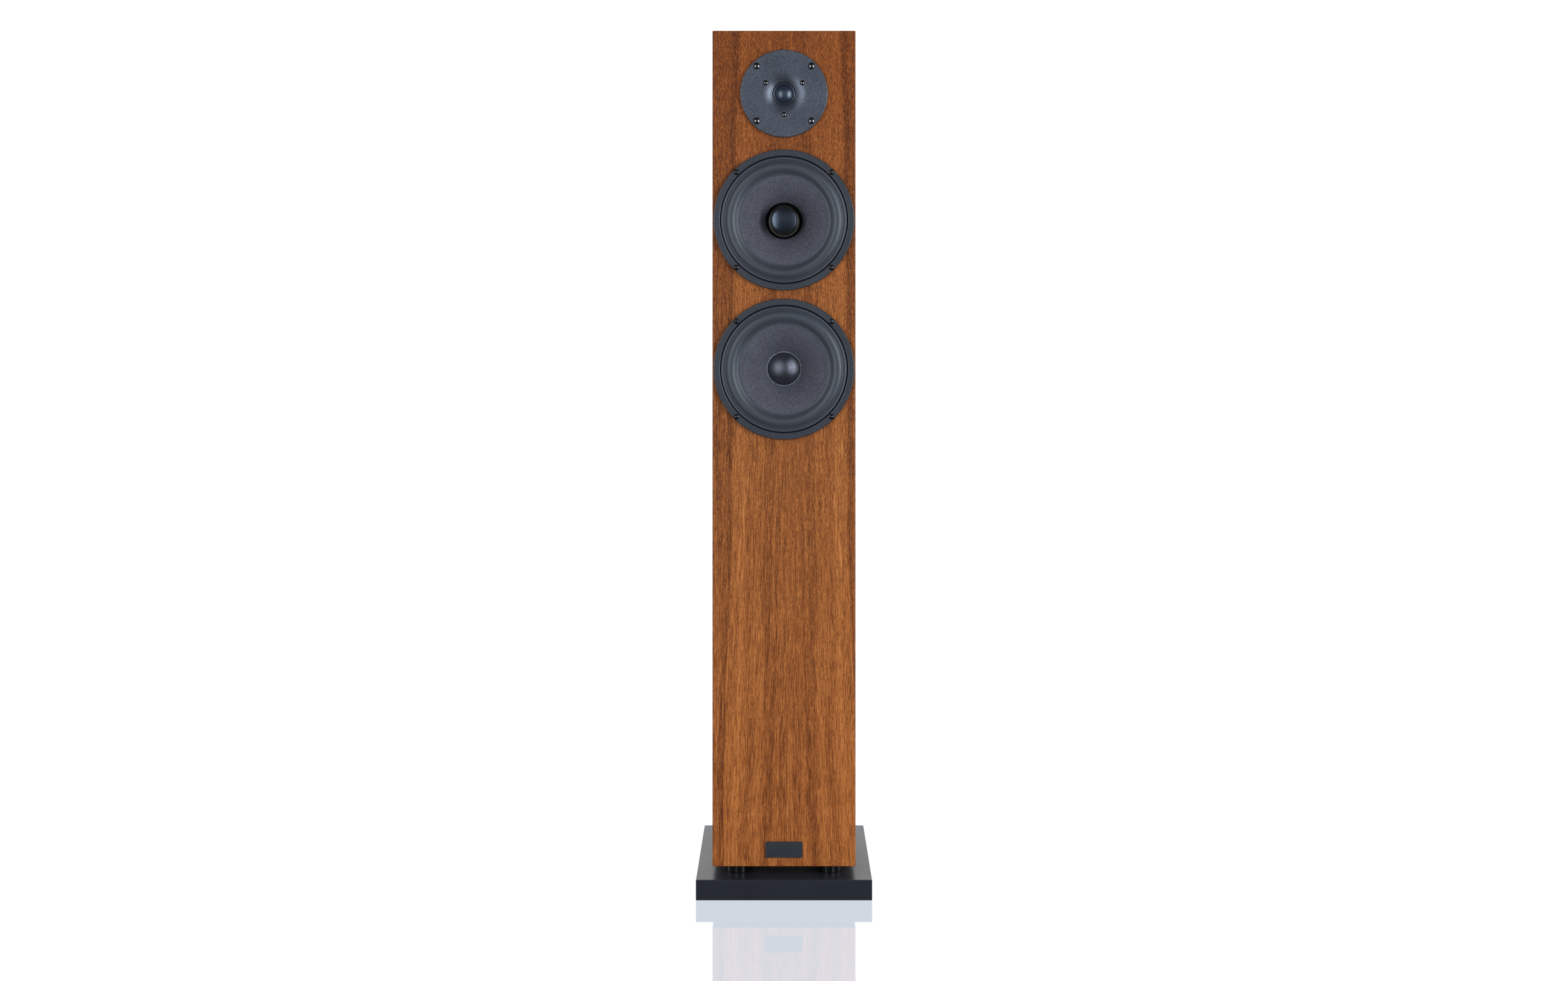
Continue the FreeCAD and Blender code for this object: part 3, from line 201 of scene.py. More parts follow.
class Look:
    """One node material. Each method adds nodes and returns the output that carries their result."""

    def __init__(self, name):
        self.material = bpy.data.materials.new(name)
        self.material.use_nodes = True
        self.tree = self.material.node_tree
        self.shader = self.tree.nodes["Principled BSDF"]
        self.place = self.add("ShaderNodeTexCoord").outputs["Object"]

    def add(self, kind, **settings):
        node = self.tree.nodes.new(kind)
        for setting, value in settings.items():
            setattr(node, setting, value)
        return node

    def feed(self, socket, value):
        if isinstance(value, bpy.types.NodeSocket):
            self.tree.links.new(value, socket)
        else:
            socket.default_value = value

    def parts(self, place=None):
        """The x, y and z of a place."""
        node = self.add("ShaderNodeSeparateXYZ")
        self.feed(node.inputs[0], place or self.place)
        return node.outputs[0], node.outputs[1], node.outputs[2]

    def join(self, x, y, z):
        node = self.add("ShaderNodeCombineXYZ")
        for socket, value in zip(node.inputs, (x, y, z)):
            self.feed(socket, value)
        return node.outputs[0]

    def stretched(self, scale, place=None, shift=(0, 0, 0)):
        node = self.add("ShaderNodeMapping")
        self.feed(node.inputs["Vector"], place or self.place)
        node.inputs["Scale"].default_value = scale
        node.inputs["Location"].default_value = shift
        return node.outputs[0]

    def noise(self, place, scale=1.0, detail=3.0, rough=0.5, twist=0.0):
        node = self.add("ShaderNodeTexNoise")
        self.feed(node.inputs["Vector"], place)
        node.inputs["Scale"].default_value = scale
        node.inputs["Detail"].default_value = detail
        node.inputs["Roughness"].default_value = rough
        node.inputs["Distortion"].default_value = twist
        return node.outputs["Fac"]

    def cell_edges(self, place):
        """The distance to the nearest edge between cells of about unit size."""
        node = self.add("ShaderNodeTexVoronoi", feature="DISTANCE_TO_EDGE")
        self.feed(node.inputs["Vector"], place)
        node.inputs["Scale"].default_value = 1.0
        return node.outputs["Distance"]

    def math(self, operation, first, second=0.0, third=0.0):
        node = self.add("ShaderNodeMath", operation=operation)
        for socket, value in zip(node.inputs, (first, second, third)):
            self.feed(socket, value)
        return node.outputs[0]

    def about_zero(self, value, amount):
        """value, from 0 to 1, spread over amount with zero in the middle."""
        return self.math("MULTIPLY", self.math("SUBTRACT", value, 0.5), amount)

    def between(self, value, low, high, to_low=0.0, to_high=1.0):
        """value spread from low..high to to_low..to_high, held inside."""
        node = self.add("ShaderNodeMapRange", clamp=True)
        for socket, number in zip(node.inputs, (value, low, high, to_low, to_high)):
            self.feed(socket, number)
        return node.outputs[0]

    def ramp(self, value, *stops):
        """A colour that runs through the stops, each (place from 0 to 1, colour)."""
        node = self.add("ShaderNodeValToRGB")
        elements = node.color_ramp.elements
        while len(elements) < len(stops):
            elements.new(0.5)
        for element, (position, colour) in zip(elements, stops):
            element.position = position
            element.color = colour
        self.feed(node.inputs[0], value)
        return node.outputs[0]

    def curve(self, value, *stops):
        """A number that runs through the stops, each (place from 0 to 1, number from 0 to 1)."""
        return self.ramp(value, *[(position, (number, number, number, 1)) for position, number in stops])

    def mix(self, amount, first, second, kind="MIX"):
        node = self.add("ShaderNodeMix", data_type="RGBA", blend_type=kind)
        self.feed(node.inputs[0], amount)
        self.feed(node.inputs[6], first)
        self.feed(node.inputs[7], second)
        return node.outputs[2]

    def bump(self, height, depth, strength=1.0, under=None):
        """Raises the surface by depth metres where height is 1."""
        node = self.add("ShaderNodeBump")
        node.inputs["Strength"].default_value = strength
        node.inputs["Distance"].default_value = depth
        self.feed(node.inputs["Height"], height)
        if under is not None:
            self.feed(node.inputs["Normal"], under)
        self.feed(self.shader.inputs["Normal"], node.outputs[0])
        return node.outputs[0]

    def surface(self, colour, roughness, **constants):
        """Colour and roughness may come from nodes; the rest are constants set on the shader."""
        self.feed(self.shader.inputs["Base Color"], colour)
        self.feed(self.shader.inputs["Roughness"], roughness)
        for socket, constant in constants.items():
            self.shader.inputs[socket.replace("_", " ")].default_value = constant
        return self.material


PATCHES_PER_METRE = 14.0


def coated(name, dark, light, grain, depth, rough, metal=0.0, **constants):
    """A cast, moulded or painted surface: fine grain, soft patches of colour and uneven gloss.

    grain is the size of one grain in metres, depth its height, rough a pair of roughness limits.
    """
    look = Look(name)
    fine = look.noise(look.place, 0.5 / grain, detail=2.0, rough=0.6)
    soft = look.noise(look.place, PATCHES_PER_METRE, detail=3.0)
    tone = look.math("ADD", look.math("MULTIPLY", fine, 0.7), look.math("MULTIPLY", soft, 0.3))
    colour = look.mix(look.between(tone, 0.3, 0.7), dark, light)
    gloss = look.between(tone, 0.3, 0.7, *rough)
    look.bump(fine, depth)
    return look.surface(colour, gloss, Metallic=metal, **constants)


WOOD_TONES = ((0.0, rgb(76, 36, 16)), (0.28, rgb(121, 66, 31)), (0.5, rgb(155, 90, 43)),
              (0.72, rgb(184, 111, 55)), (1.0, rgb(218, 141, 76)))
PORE_BROWN = rgb(80, 40, 18)
# Painted shade: the wood is made darker and redder towards the cabinet's top, standing in for less light
# there.
TOP_PAINTED_SHADE = (0.80, 0.69, 0.56, 1.0)
FOOT_WARMTH = (1.0, 0.92, 0.86, 1.0)
DRIFT = 0.024
RIPPLE = 0.0040
SLANT = 0.018
OTHER_SIDE = 0.37


def grain_width(look, wide, length, shift):
    """The distance from the seam as the grain has it: drifting, rippled and slanting outwards.

    Its ripple is given as well.
    """
    slow_place = look.join(look.math("MULTIPLY", wide, 9.0), look.math("MULTIPLY", length, 2.6), shift)
    quick_place = look.join(look.math("MULTIPLY", wide, 45.0), look.math("MULTIPLY", length, 14.0),
                            shift + 4)
    drift = look.about_zero(look.noise(slow_place, detail=2.0), DRIFT)
    ripple = look.about_zero(look.noise(quick_place, detail=2.0), RIPPLE)
    bent = look.math("ADD", wide, look.math("ADD", drift, ripple))
    return look.math("ADD", bent, look.about_zero(length, SLANT)), ripple


def walnut(name, across, along, seam=0.0, shift=0.0, zones=None):
    """Oiled walnut veneer, book-matched about the seam; across and along are 0, 1 or 2 for x, y or z.

    The broad figure is mirrored; the fine lines and flecks follow it but differ on the two sides.
    zones, for the front, gives the tone from the seam out to 0.1 m as stops for a curve, and asks
    for the pair of bright streaks that run outwards below the drivers.
    """
    look = Look(name)
    axes = look.parts()
    length = axes[along]
    off = look.math("SUBTRACT", axes[across], seam)
    wide = look.math("ABSOLUTE", off)
    side = look.math("GREATER_THAN", off, 0.0)
    bent, ripple = grain_width(look, wide, length, shift)
    depth = look.math("ADD", axes[3 - across - along], shift)
    mirrored = look.join(bent, length, depth)
    single = look.join(bent, length, look.math("ADD", depth, look.math("MULTIPLY", side, OTHER_SIDE)))

    bands = look.noise(look.stretched((120, 1.8, 20), mirrored), detail=3.0, rough=0.6)
    strands = look.noise(look.stretched((420, 7, 60), mirrored), detail=3.0, rough=0.65)
    lines = look.noise(look.stretched((1700, 46, 90), single), detail=2.0, rough=0.6)
    flecks = look.noise(look.stretched((2000, 300, 300), single), detail=2.0, rough=0.7)
    pores = look.noise(look.stretched((1250, 110, 400), single, (3.7, 1.3, 2.1)), detail=1.0, rough=0.5)
    zone = look.curve(look.math("MULTIPLY", bent, 10.0), *(zones or [(0.0, 0.5), (1.0, 0.5)]))
    low_down = look.between(length, 0.05, 1.0, 1.0, 0.35)
    high_up = look.between(length, 0.05, 1.0, 0.55, 1.15)

    # Painted light: the tone is raised towards the foot, standing in for more light falling there.
    tone = look.math("ADD", zone, look.between(length, 0.55, 0.10, 0.0, 0.19))
    for pattern, where, weight in ((bands, low_down, 0.75), (strands, low_down, 0.95),
                                   (lines, low_down, 2.0), (flecks, high_up, 1.8)):
        amount = look.math("MULTIPLY", where, weight)
        tone = look.math("MULTIPLY_ADD", look.math("SUBTRACT", pattern, 0.5), amount, tone)
    if zones:
        tone = look.math("ADD", tone, bright_streaks(look, wide, length, ripple, strands))
    wood = look.ramp(tone, *WOOD_TONES)
    pore = look.between(pores, 0.60, 0.69)
    wood = look.mix(look.math("MULTIPLY", pore, 0.5), wood, PORE_BROWN)
    # Painted shade: darker and redder towards the cabinet's top.
    painted_shade_near_top = look.between(length, CABINET_TOP - 0.40, CABINET_TOP - 0.04)
    wood = look.mix(painted_shade_near_top, wood, look.mix(1.0, wood, TOP_PAINTED_SHADE, "MULTIPLY"))
    # A warmer tint towards the foot, over the same span where the tone is raised as painted light.
    near_foot = look.between(length, 0.55, 0.10)
    wood = look.mix(near_foot, wood, look.mix(1.0, wood, FOOT_WARMTH, "MULTIPLY"))
    gloss = look.between(tone, 0.2, 0.9, 0.56, 0.46)
    relief = look.math("SUBTRACT", look.math("MULTIPLY", flecks, 0.25), pore)
    look.bump(relief, 0.00008, 0.5)
    return look.surface(wood, gloss, Specular_IOR_Level=0.2)


STREAK_OFF_SEAM = 0.049
STREAK_LEVEL = 0.51
STREAK_SLOPE = 0.105
STREAK_HALF_WIDTH = 0.0024
STREAK_TONE = 0.38


def bright_streaks(look, wide, length, ripple, strands):
    """Tone added along two thin, broken lines that run outwards as they go down the front."""
    level = look.math("SUBTRACT", length, STREAK_LEVEL)
    line = look.math("ADD", wide, look.math("MULTIPLY", level, STREAK_SLOPE))
    off_line = look.math("SUBTRACT", line, STREAK_OFF_SEAM)
    off = look.math("ABSOLUTE", look.math("MULTIPLY_ADD", ripple, 1.8, off_line))
    beam = look.between(off, 0.0, STREAK_HALF_WIDTH, STREAK_TONE, 0.0)
    broken = look.between(strands, 0.42, 0.58, 0.05, 1.0)
    below_drivers = look.between(length, 0.60, 0.52)
    above_foot = look.between(length, 0.16, 0.30)
    return look.math("MULTIPLY", look.math("MULTIPLY", beam, broken),
                     look.math("MULTIPLY", below_drivers, above_foot))


FRONT_ZONES = [
    (0.0, 0.46), (0.12, 0.47), (0.26, 0.45), (0.34, 0.53), (0.55, 0.55), (0.63, 0.60),
    (0.68, 0.57), (0.71, 0.31), (0.74, 0.30), (0.78, 0.45), (0.9, 0.46), (1.0, 0.46),
]


def board_material():
    """Grey-brown fibreboard of the inner braces."""
    look = Look("fibreboard")
    fibres = look.noise(look.stretched((900, 900, 300)), detail=4.0, rough=0.7)
    colour = look.ramp(fibres, (0.3, rgb(122, 96, 70)), (0.7, rgb(170, 140, 105)))
    look.bump(fibres, 0.0001)
    return look.surface(colour, look.between(fibres, 0.3, 0.7, 0.75, 0.92))


def woven(name, dark, light, pitch, depth, rough, **constants):
    """Cloth of threads running up and across, each passing over and under, in resin."""
    look = Look(name)
    x, _, z = look.parts()
    sway = look.math("MULTIPLY", look.noise(look.place, 60.0, detail=1.0), 0.8 * MM)
    across = look.math("SINE", look.math("MULTIPLY", look.math("ADD", x, sway), math.pi / pitch))
    upward = look.math("SINE", look.math("MULTIPLY", look.math("ADD", z, sway), math.pi / pitch))
    over = look.math("MULTIPLY", across, upward)
    uneven = look.noise(look.place, 0.4 / pitch, detail=2.0)
    patchy = look.between(look.noise(look.place, 70.0, detail=2.0), 0.35, 0.65, 0.45, 0.75)
    threads = look.math("MULTIPLY_ADD", over, patchy, look.math("MULTIPLY", uneven, 0.5))
    colour = look.mix(look.between(threads, -0.15, 0.95), dark, light)
    gloss = look.between(threads, -0.3, 0.8, rough[1], rough[0])
    look.bump(threads, depth)
    return look.surface(colour, gloss, **constants)


def doped_fabric(name, dark, light, rough):
    """Fine soft-dome cloth with a tacky coating."""
    look = Look(name)
    x, _, z = look.parts()
    threads = look.math("MULTIPLY", look.math("SINE", look.math("MULTIPLY", x, math.pi / (0.28 * MM))),
                        look.math("SINE", look.math("MULTIPLY", z, math.pi / (0.28 * MM))))
    smear = look.noise(look.stretched((700, 700, 700)), detail=3.0)
    height = look.math("ADD", look.math("MULTIPLY", threads, 0.2), smear)
    colour = look.mix(look.between(height, 0.2, 0.8), dark, light)
    look.bump(height, 0.00002, 0.5)
    return look.surface(colour, look.between(smear, 0.3, 0.7, *rough), Specular_IOR_Level=1.0,
                        Specular_Tint=COOL, Coat_Weight=0.6, Coat_Roughness=0.3, Coat_Tint=COOL)


def windings(name, dark, light, pitch, coil_front):
    """Enamelled copper wire wound round an axis along y, and a black former in front of coil_front."""
    look = Look(name)
    _, y, _ = look.parts()
    turns = look.math("SINE", look.math("MULTIPLY", y, 2 * math.pi / pitch))
    uneven = look.noise(look.stretched((300, 900, 300)), detail=2.0)
    copper = look.mix(look.between(look.math("ADD", turns, uneven), -0.6, 1.4), dark, light)
    former = look.mix(uneven, rgb(8, 8, 9), rgb(14, 14, 16))
    wound = look.math("GREATER_THAN", y, coil_front)
    look.bump(look.math("MULTIPLY", turns, wound), 0.0001)
    return look.surface(look.mix(wound, former, copper), look.between(uneven, 0.3, 0.7, 0.3, 0.45),
                        Metallic=0.5)


def brushed(name, dark, light, rough, metal):
    """Metal brushed from left to right."""
    look = Look(name)
    lines = look.noise(look.stretched((30, 3000, 6000)), detail=3.0, rough=0.6)
    cloud = look.noise(look.place, 25.0, detail=2.0)
    tone = look.math("ADD", look.math("MULTIPLY", lines, 0.75), look.math("MULTIPLY", cloud, 0.25))
    look.bump(lines, 0.00001, 0.6)
    return look.surface(look.mix(look.between(tone, 0.3, 0.7), dark, light),
                        look.between(tone, 0.3, 0.7, *rough), Metallic=metal)


def circuit_material():
    """Green solder mask with copper tracks under it."""
    look = Look("circuit_board")
    tracks = look.cell_edges(look.stretched((55, 55, 1)))
    line = look.between(tracks, 0.05, 0.07, 1.0, 0.0)
    mottle = look.noise(look.place, 900.0, detail=2.0)
    colour = look.mix(line, look.mix(mottle, rgb(18, 60, 38), rgb(26, 78, 48)), rgb(58, 118, 70))
    look.bump(line, 0.00004)
    return look.surface(colour, look.between(mottle, 0.3, 0.7, 0.3, 0.45))


def felt_material():
    """Loose grey damping wadding."""
    look = Look("damping_felt")
    fluff = look.noise(look.place, 260.0, detail=5.0, rough=0.75, twist=0.6)
    colour = look.ramp(fluff, (0.3, rgb(52, 53, 56)), (0.7, rgb(112, 113, 116)))
    look.bump(fluff, 0.0012)
    return look.surface(colour, look.between(fluff, 0.3, 0.7, 0.85, 0.98), Sheen_Weight=0.4)


COOL = (0.72, 0.86, 1.0, 1.0)

MATERIALS = {
    "brace_board": board_material(),
    "plinth_lacquer": coated(
        "satin_lacquer", rgb(36, 41, 48), rgb(49, 54, 62), 0.5 * MM, 0.00001, (0.26, 0.36),
        Specular_IOR_Level=0.28),
    "spacer_metal": coated(
        "black_anodised", rgb(16, 17, 19), rgb(26, 27, 30), 0.4 * MM, 0.000004, (0.16, 0.24),
        metal=0.3),
    "badge_metal": brushed("badge_metal", rgb(56, 61, 69), rgb(74, 79, 89), (0.35, 0.5), 0.5),
    "dark_steel": coated(
        "gunmetal_steel", rgb(86, 86, 88), rgb(114, 114, 116), 0.3 * MM, 0.000003, (0.12, 0.2),
        metal=1.0),
    "black_oxide": coated(
        "black_oxide_steel", rgb(58, 59, 62), rgb(82, 83, 87), 0.3 * MM, 0.000003, (0.14, 0.24),
        metal=1.0),
    "zinc_steel": coated(
        "zinc_plated_steel", rgb(150, 152, 150), rgb(186, 188, 184), 0.6 * MM, 0.000006, (0.28, 0.42),
        metal=0.95),
    "brass": coated(
        "brass", rgb(150, 116, 56), rgb(186, 150, 84), 0.5 * MM, 0.000006, (0.25, 0.4), metal=1.0),
    "foot_rubber": coated(
        "foot_rubber", rgb(20, 20, 21), rgb(34, 34, 35), 0.5 * MM, 0.00003, (0.6, 0.78)),
    "faceplate_metal": coated(
        "powder_coat", rgb(48, 52, 61), rgb(118, 127, 143), 0.45 * MM, 0.00012, (0.31, 0.41),
        metal=0.75),
    "dome_fabric": doped_fabric("doped_fabric", rgb(26, 30, 44), rgb(44, 51, 70), (0.28, 0.36)),
    "dome_roll": coated(
        "dome_roll", rgb(58, 64, 75), rgb(76, 84, 97), 0.3 * MM, 0.000006, (0.2, 0.3), metal=0.6),
    "frame_casting": coated(
        "painted_casting", rgb(56, 61, 70), rgb(73, 79, 90), 0.6 * MM, 0.000015, (0.32, 0.43),
        metal=0.4),
    "surround_rubber": coated(
        "surround_rubber", rgb(50, 54, 62), rgb(64, 70, 81), 0.35 * MM, 0.000008, (0.40, 0.50),
        Specular_IOR_Level=0.8, Specular_Tint=(0.84, 0.92, 1.0, 1.0)),
    "woven_cone": woven(
        "woven_fibre", rgb(8, 8, 11), rgb(136, 140, 158), 1.0 * MM, 0.0004, (0.34, 0.5),
        Specular_IOR_Level=0.45),
    "woven_cap": woven(
        "woven_cap", rgb(66, 70, 79), rgb(124, 130, 144), 1.05 * MM, 0.0001, (0.27, 0.38),
        Metallic=0.9),
    "glue": coated("glue_bead", rgb(44, 47, 54), rgb(196, 202, 214), 0.5 * MM, 0.0003, (0.1, 0.3)),
    # Painted shade: near-black matte for the rings laid in the surrounds' gaps and round the upper woofer's
    # plug, standing in for shadow there.
    "gap_black": coated(
        "gap_black", rgb(6, 6, 7), rgb(12, 12, 13), 0.6 * MM, 0.00002, (0.85, 0.95),
        Specular_IOR_Level=0.1),
    "coil_copper": windings(
        "copper_windings", rgb(128, 62, 32), rgb(198, 116, 66), 0.35 * MM, COIL_FRONT),
    "spider_cloth": woven(
        "spider_cloth", rgb(150, 116, 52), rgb(196, 158, 84), 0.6 * MM, 0.00008, (0.7, 0.85)),
    "ferrite": coated("ferrite", rgb(40, 40, 42), rgb(62, 62, 65), 0.8 * MM, 0.00003, (0.5, 0.65)),
    "plug_metal": coated(
        "plug_finish", rgb(56, 64, 76), rgb(70, 79, 93), 0.45 * MM, 0.000006, (0.2, 0.3), metal=0.95),
    "plug_body": coated(
        "plug_body", rgb(5, 5, 6), rgb(9, 9, 10), 0.5 * MM, 0.000002, (0.08, 0.15),
        Specular_IOR_Level=0.6),
    "gasket_foam": coated(
        "gasket_foam", rgb(24, 24, 25), rgb(46, 46, 47), 0.8 * MM, 0.0002, (0.85, 0.95)),
    "port_plastic": coated(
        "port_plastic", rgb(20, 21, 22), rgb(32, 33, 35), 0.5 * MM, 0.00003, (0.42, 0.55)),
    "terminal_metal": brushed("terminal_metal", rgb(44, 45, 48), rgb(70, 71, 75), (0.3, 0.45), 0.85),
    "post_metal": coated(
        "gilt_brass", rgb(176, 140, 74), rgb(206, 170, 98), 0.4 * MM, 0.000004, (0.18, 0.28),
        metal=1.0),
    "red_plastic": coated(
        "red_plastic", rgb(140, 16, 18), rgb(170, 26, 26), 0.5 * MM, 0.00001, (0.25, 0.4)),
    "black_plastic": coated(
        "black_plastic", rgb(16, 16, 17), rgb(28, 28, 30), 0.5 * MM, 0.00001, (0.25, 0.4)),
    "circuit_board": circuit_material(),
    "film_capacitor": coated(
        "film_capacitor", rgb(176, 140, 30), rgb(206, 168, 48), 0.9 * MM, 0.00002, (0.3, 0.45)),
    "lead_plastic": coated(
        "lead_plastic", rgb(120, 20, 20), rgb(150, 32, 30), 0.6 * MM, 0.00002, (0.35, 0.5)),
    "damping_felt": felt_material(),
}


# ---------------------------------------------------------------- finishes on the CAD pieces


def paint(node, material):
    """Gives a carried-over CAD piece its node material."""
    slots = NODES[node].data.materials
    for index in range(len(slots)):
        slots[index] = material


def paint_cabinet():
    """Book-matched veneer on the front and back, plain runs on the sides, grain front to back on top."""
    x, y, z = 0, 1, 2
    paint("front_baffle", walnut("walnut_front", x, z, 7 * MM, 0.0, FRONT_ZONES))
    paint("back_panel", walnut("walnut_back", x, z, -4 * MM, 7.3))
    paint("left_side_panel", walnut("walnut_left", y, z, -0.4, 13.1))
    paint("right_side_panel", walnut("walnut_right", y, z, -0.4, 21.7))
    for node in ("top_panel", "bottom_panel"):
        paint(node, walnut(f"walnut_{node}", x, y, -0.3, 31.9))


def paint_the_rest():
    """Every other CAD piece takes the material of its slot in the record."""
    for part in frame["record"]["subparts"]:
        if part["material_slot"] != "walnut_veneer":
            paint(part["node"], MATERIALS[part["material_slot"]])


# ---------------------------------------------------------------- pieces that replace CAD nodes


def bend_round(piece, driver, moving, held, outline_inner, outline_outer):
    """The piece bends in rings: held to the cabinet at one radius, moving with the cone at the other.
    """
    axis = AXES[driver]
    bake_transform(piece, held, moving, axis + Vector((outline_outer * MM, 0, 0)),
             axis + Vector((outline_inner * MM, 0, 0)))
    weights = piece.data.attributes["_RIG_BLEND"].data
    for vertex in piece.data.vertices:
        radius = math.hypot(vertex.co.x - axis.x, vertex.co.z - axis.z) / MM
        share = min(1.0, max(0.0, (outline_outer - radius) / (outline_outer - outline_inner)))
        weights[vertex.index].value = share * share * (3 - 2 * share)


def woofer_surround(driver):
    """Rubber surround: land, wide flat roll, bead, groove and ridged rim; round it, a black ring laid in the
    gap as painted shade.
    """
    ridges = []
    for step in range(47):
        ridges.append((71.9 + 0.05 * step, 3.55 + 0.035 * math.sin(2 * math.pi * step / 12.0)))
    outline = [
        (52.8, 1.1),
        *rounded([(52.8, 1.1), (54.9, 1.35, 1.0), (58.7, 4.1, 0.6), (59.6, 4.6)])[1:-1],
        *arc((59.2, 4.4), (68.6, 3.72), 1.36, 40),
        *rounded([(68.6, 3.72), (69.7, 2.8, 0.5), (70.1, 2.8)])[1:-1],
        *arc((70.0, 2.75), (71.0, 2.9), 0.35, 10),
        (71.2, 2.55),
        (71.5, 2.55),
        (71.8, 3.4),
        *ridges,
        *rounded([(74.25, 3.6), (74.5, 3.6, 0.2), (74.5, 1.65)])[1:],
        (69.9, 1.65),
        *arc((68.5, 1.7), (57.9, 1.2), -2.6, 40),
        (52.9, 1.05),
    ]
    piece = turned(f"{driver}_roll", outline, [AXES[driver]], MATERIALS["surround_rubber"])
    bend_round(piece, driver, f"{driver}_moving", "cabinet", 54.0, 69.4)
    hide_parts(f"{driver}_surround")

    # Painted shade: a black ring laid in the gap between the rim and the frame, standing in for the gap's
    # shadow.
    gap_shade_ring = turned(f"{driver}_gap", [(74.55, 1.62), (75.58, 1.62), (75.58, 2.3), (74.55, 2.3)],
                 [AXES[driver]], MATERIALS["gap_black"])
    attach(gap_shade_ring, "cabinet")


def spider(driver):
    """Corrugated cloth disc that centres the voice coil."""
    inner, outer, level, skin, waves = 19.5, 51.0, -33.0, 0.6, 7
    steps = waves * 12
    top = []
    for step in range(steps + 1):
        share = step / steps
        radius = inner + (outer - inner) * share
        fade = min(1.0, 6 * share, 6 * (1 - share))
        top.append((radius, level + 0.7 + 1.0 * fade * math.sin(2 * math.pi * waves * share)))
    outline = top + [(radius, height - skin) for radius, height in reversed(top)]
    piece = turned(f"{driver}_spider_cloth", outline, [AXES[driver]], MATERIALS["spider_cloth"],
                   segments=144)
    bend_round(piece, driver, f"{driver}_moving", "cabinet", 20.5, 50.0)
    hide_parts(f"{driver}_spider")


def tweeter_surround():
    """Narrow roll between the dome and the faceplate."""
    outline = [
        *arc((10.9, -2.0), (13.7, -2.0), 1.15, 16),
        (14.0, -2.1),
        (16.5, -2.1),
        (16.5, -2.5),
        *arc((13.4, -2.4), (11.2, -2.4), -0.8, 16),
        (10.9, -2.3),
    ]
    piece = turned("tweeter_roll", outline, [AXES["tweeter"]], MATERIALS["dome_roll"])
    bend_round(piece, "tweeter", "tweeter_moving", "cabinet", 10.9, 13.7)
    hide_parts("tweeter_surround")


def on_ring(driver, radius, angles):
    """Places round a driver's axis; radius in millimetres, angles in degrees."""
    turns = [math.radians(angle) for angle in angles]
    return [AXES[driver] + Vector((math.cos(turn), 0, math.sin(turn))) * radius * MM for turn in turns]


def domed_head(radius, top, crown, recess, seat, shank, reach):
    """Outline of a screw with a domed head and a small round recess in it."""
    ball = (radius**2 + crown**2) / (2 * crown)
    lip = top - ball + math.sqrt(ball**2 - recess**2)
    chord = math.hypot(radius - recess, lip - top + crown)
    rise = ball - math.sqrt(ball**2 - chord**2 / 4)
    return [
        (0.0, lip - 0.5),
        (recess - 0.15, lip - 0.5),
        *arc((recess, lip), (radius, top - crown), rise, 14),
        (radius, seat),
        (shank, seat),
        (shank, -reach),
        (0.0, -reach),
    ]


def tweeter_screws():
    """Four domed heads that hold the faceplate, and three small flush ones that hold the motor."""
    big = turned("tweeter_mounting_screws", domed_head(4.05, 4.9, 1.45, 0.75, 2.35, 1.75, 9.0),
                 on_ring("tweeter", 46.0, (45, 135, 225, 315)), MATERIALS["dark_steel"], segments=72)
    small = turned("tweeter_motor_screws", domed_head(3.05, 4.0, 1.2, 0.6, 2.35, 1.4, 2.0),
                   on_ring("tweeter", 25.1, (30, 150, 270)), MATERIALS["dark_steel"], segments=72)
    for screws in (big, small):
        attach(screws, "cabinet")
    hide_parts("tweeter_screws")


def woofer_screws(driver):
    """Four black socket screws in the frame's flange: a low collar round a domed middle."""
    outline = domed_head(2.75, 6.5, 1.25, 0.8, 4.85, 2.75, -4.85)[:-3]
    outline += [
        (2.75, 4.85),
        *arc((2.85, 4.9), (3.3, 4.6), 0.12, 6),
        (3.3, 3.15),
        (1.95, 3.15),
        (1.95, -9.0),
        (0.0, -9.0),
    ]
    screws = turned(f"{driver}_mounting_screws", outline, on_ring(driver, 79.9, (45, 135, 225, 315)),
                    MATERIALS["black_oxide"], segments=72)
    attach(screws, "cabinet")
    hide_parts(f"{driver}_screws")


def painted_neck_shade():
    """Painted shade: a black ring on the lowest part of the upper woofer's cone, round the plug, where the
    plug's shadow falls.
    """
    cone = arc((52.8, 1.0), (19.4, -24.0), CONE_RISE, 60)
    covered = [(radius, height + 0.12) for radius, height in cone if radius < 22.2]
    outline = covered + [(radius, height - 0.35) for radius, height in reversed(covered)]
    neck_shade_ring = turned("painted_neck_shade", outline, [AXES["midwoofer"]], MATERIALS["gap_black"])
    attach(neck_shade_ring, "midwoofer_moving")


def phase_plug():
    """Plug on the upper woofer's pole: a domed metal face set in a glossy black body."""
    face = turned("phase_plug", [
        *arc((0.0, 1.5), (13.7, -0.3), dome_rise(13.7, 1.8), 24),
        *rounded([(13.7, -0.3), (15.0, -0.6, 1.2), (15.0, -5.0)], 8)[1:],
        (0.0, -5.0),
    ], [AXES["midwoofer"]], MATERIALS["plug_metal"])
    body = turned("phase_plug_body", [
        (0.0, -5.1),
        (15.7, -5.1),
        *rounded([(15.7, -5.1), (15.7, -2.0, 0.25), (17.0, -2.0, 0.8), (17.0, -42.0)], 8)[1:],
        (0.0, -42.0),
    ], [AXES["midwoofer"]], MATERIALS["plug_body"])
    for piece in (face, body):
        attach(piece, "cabinet")
    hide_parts("midwoofer_phase_plug")


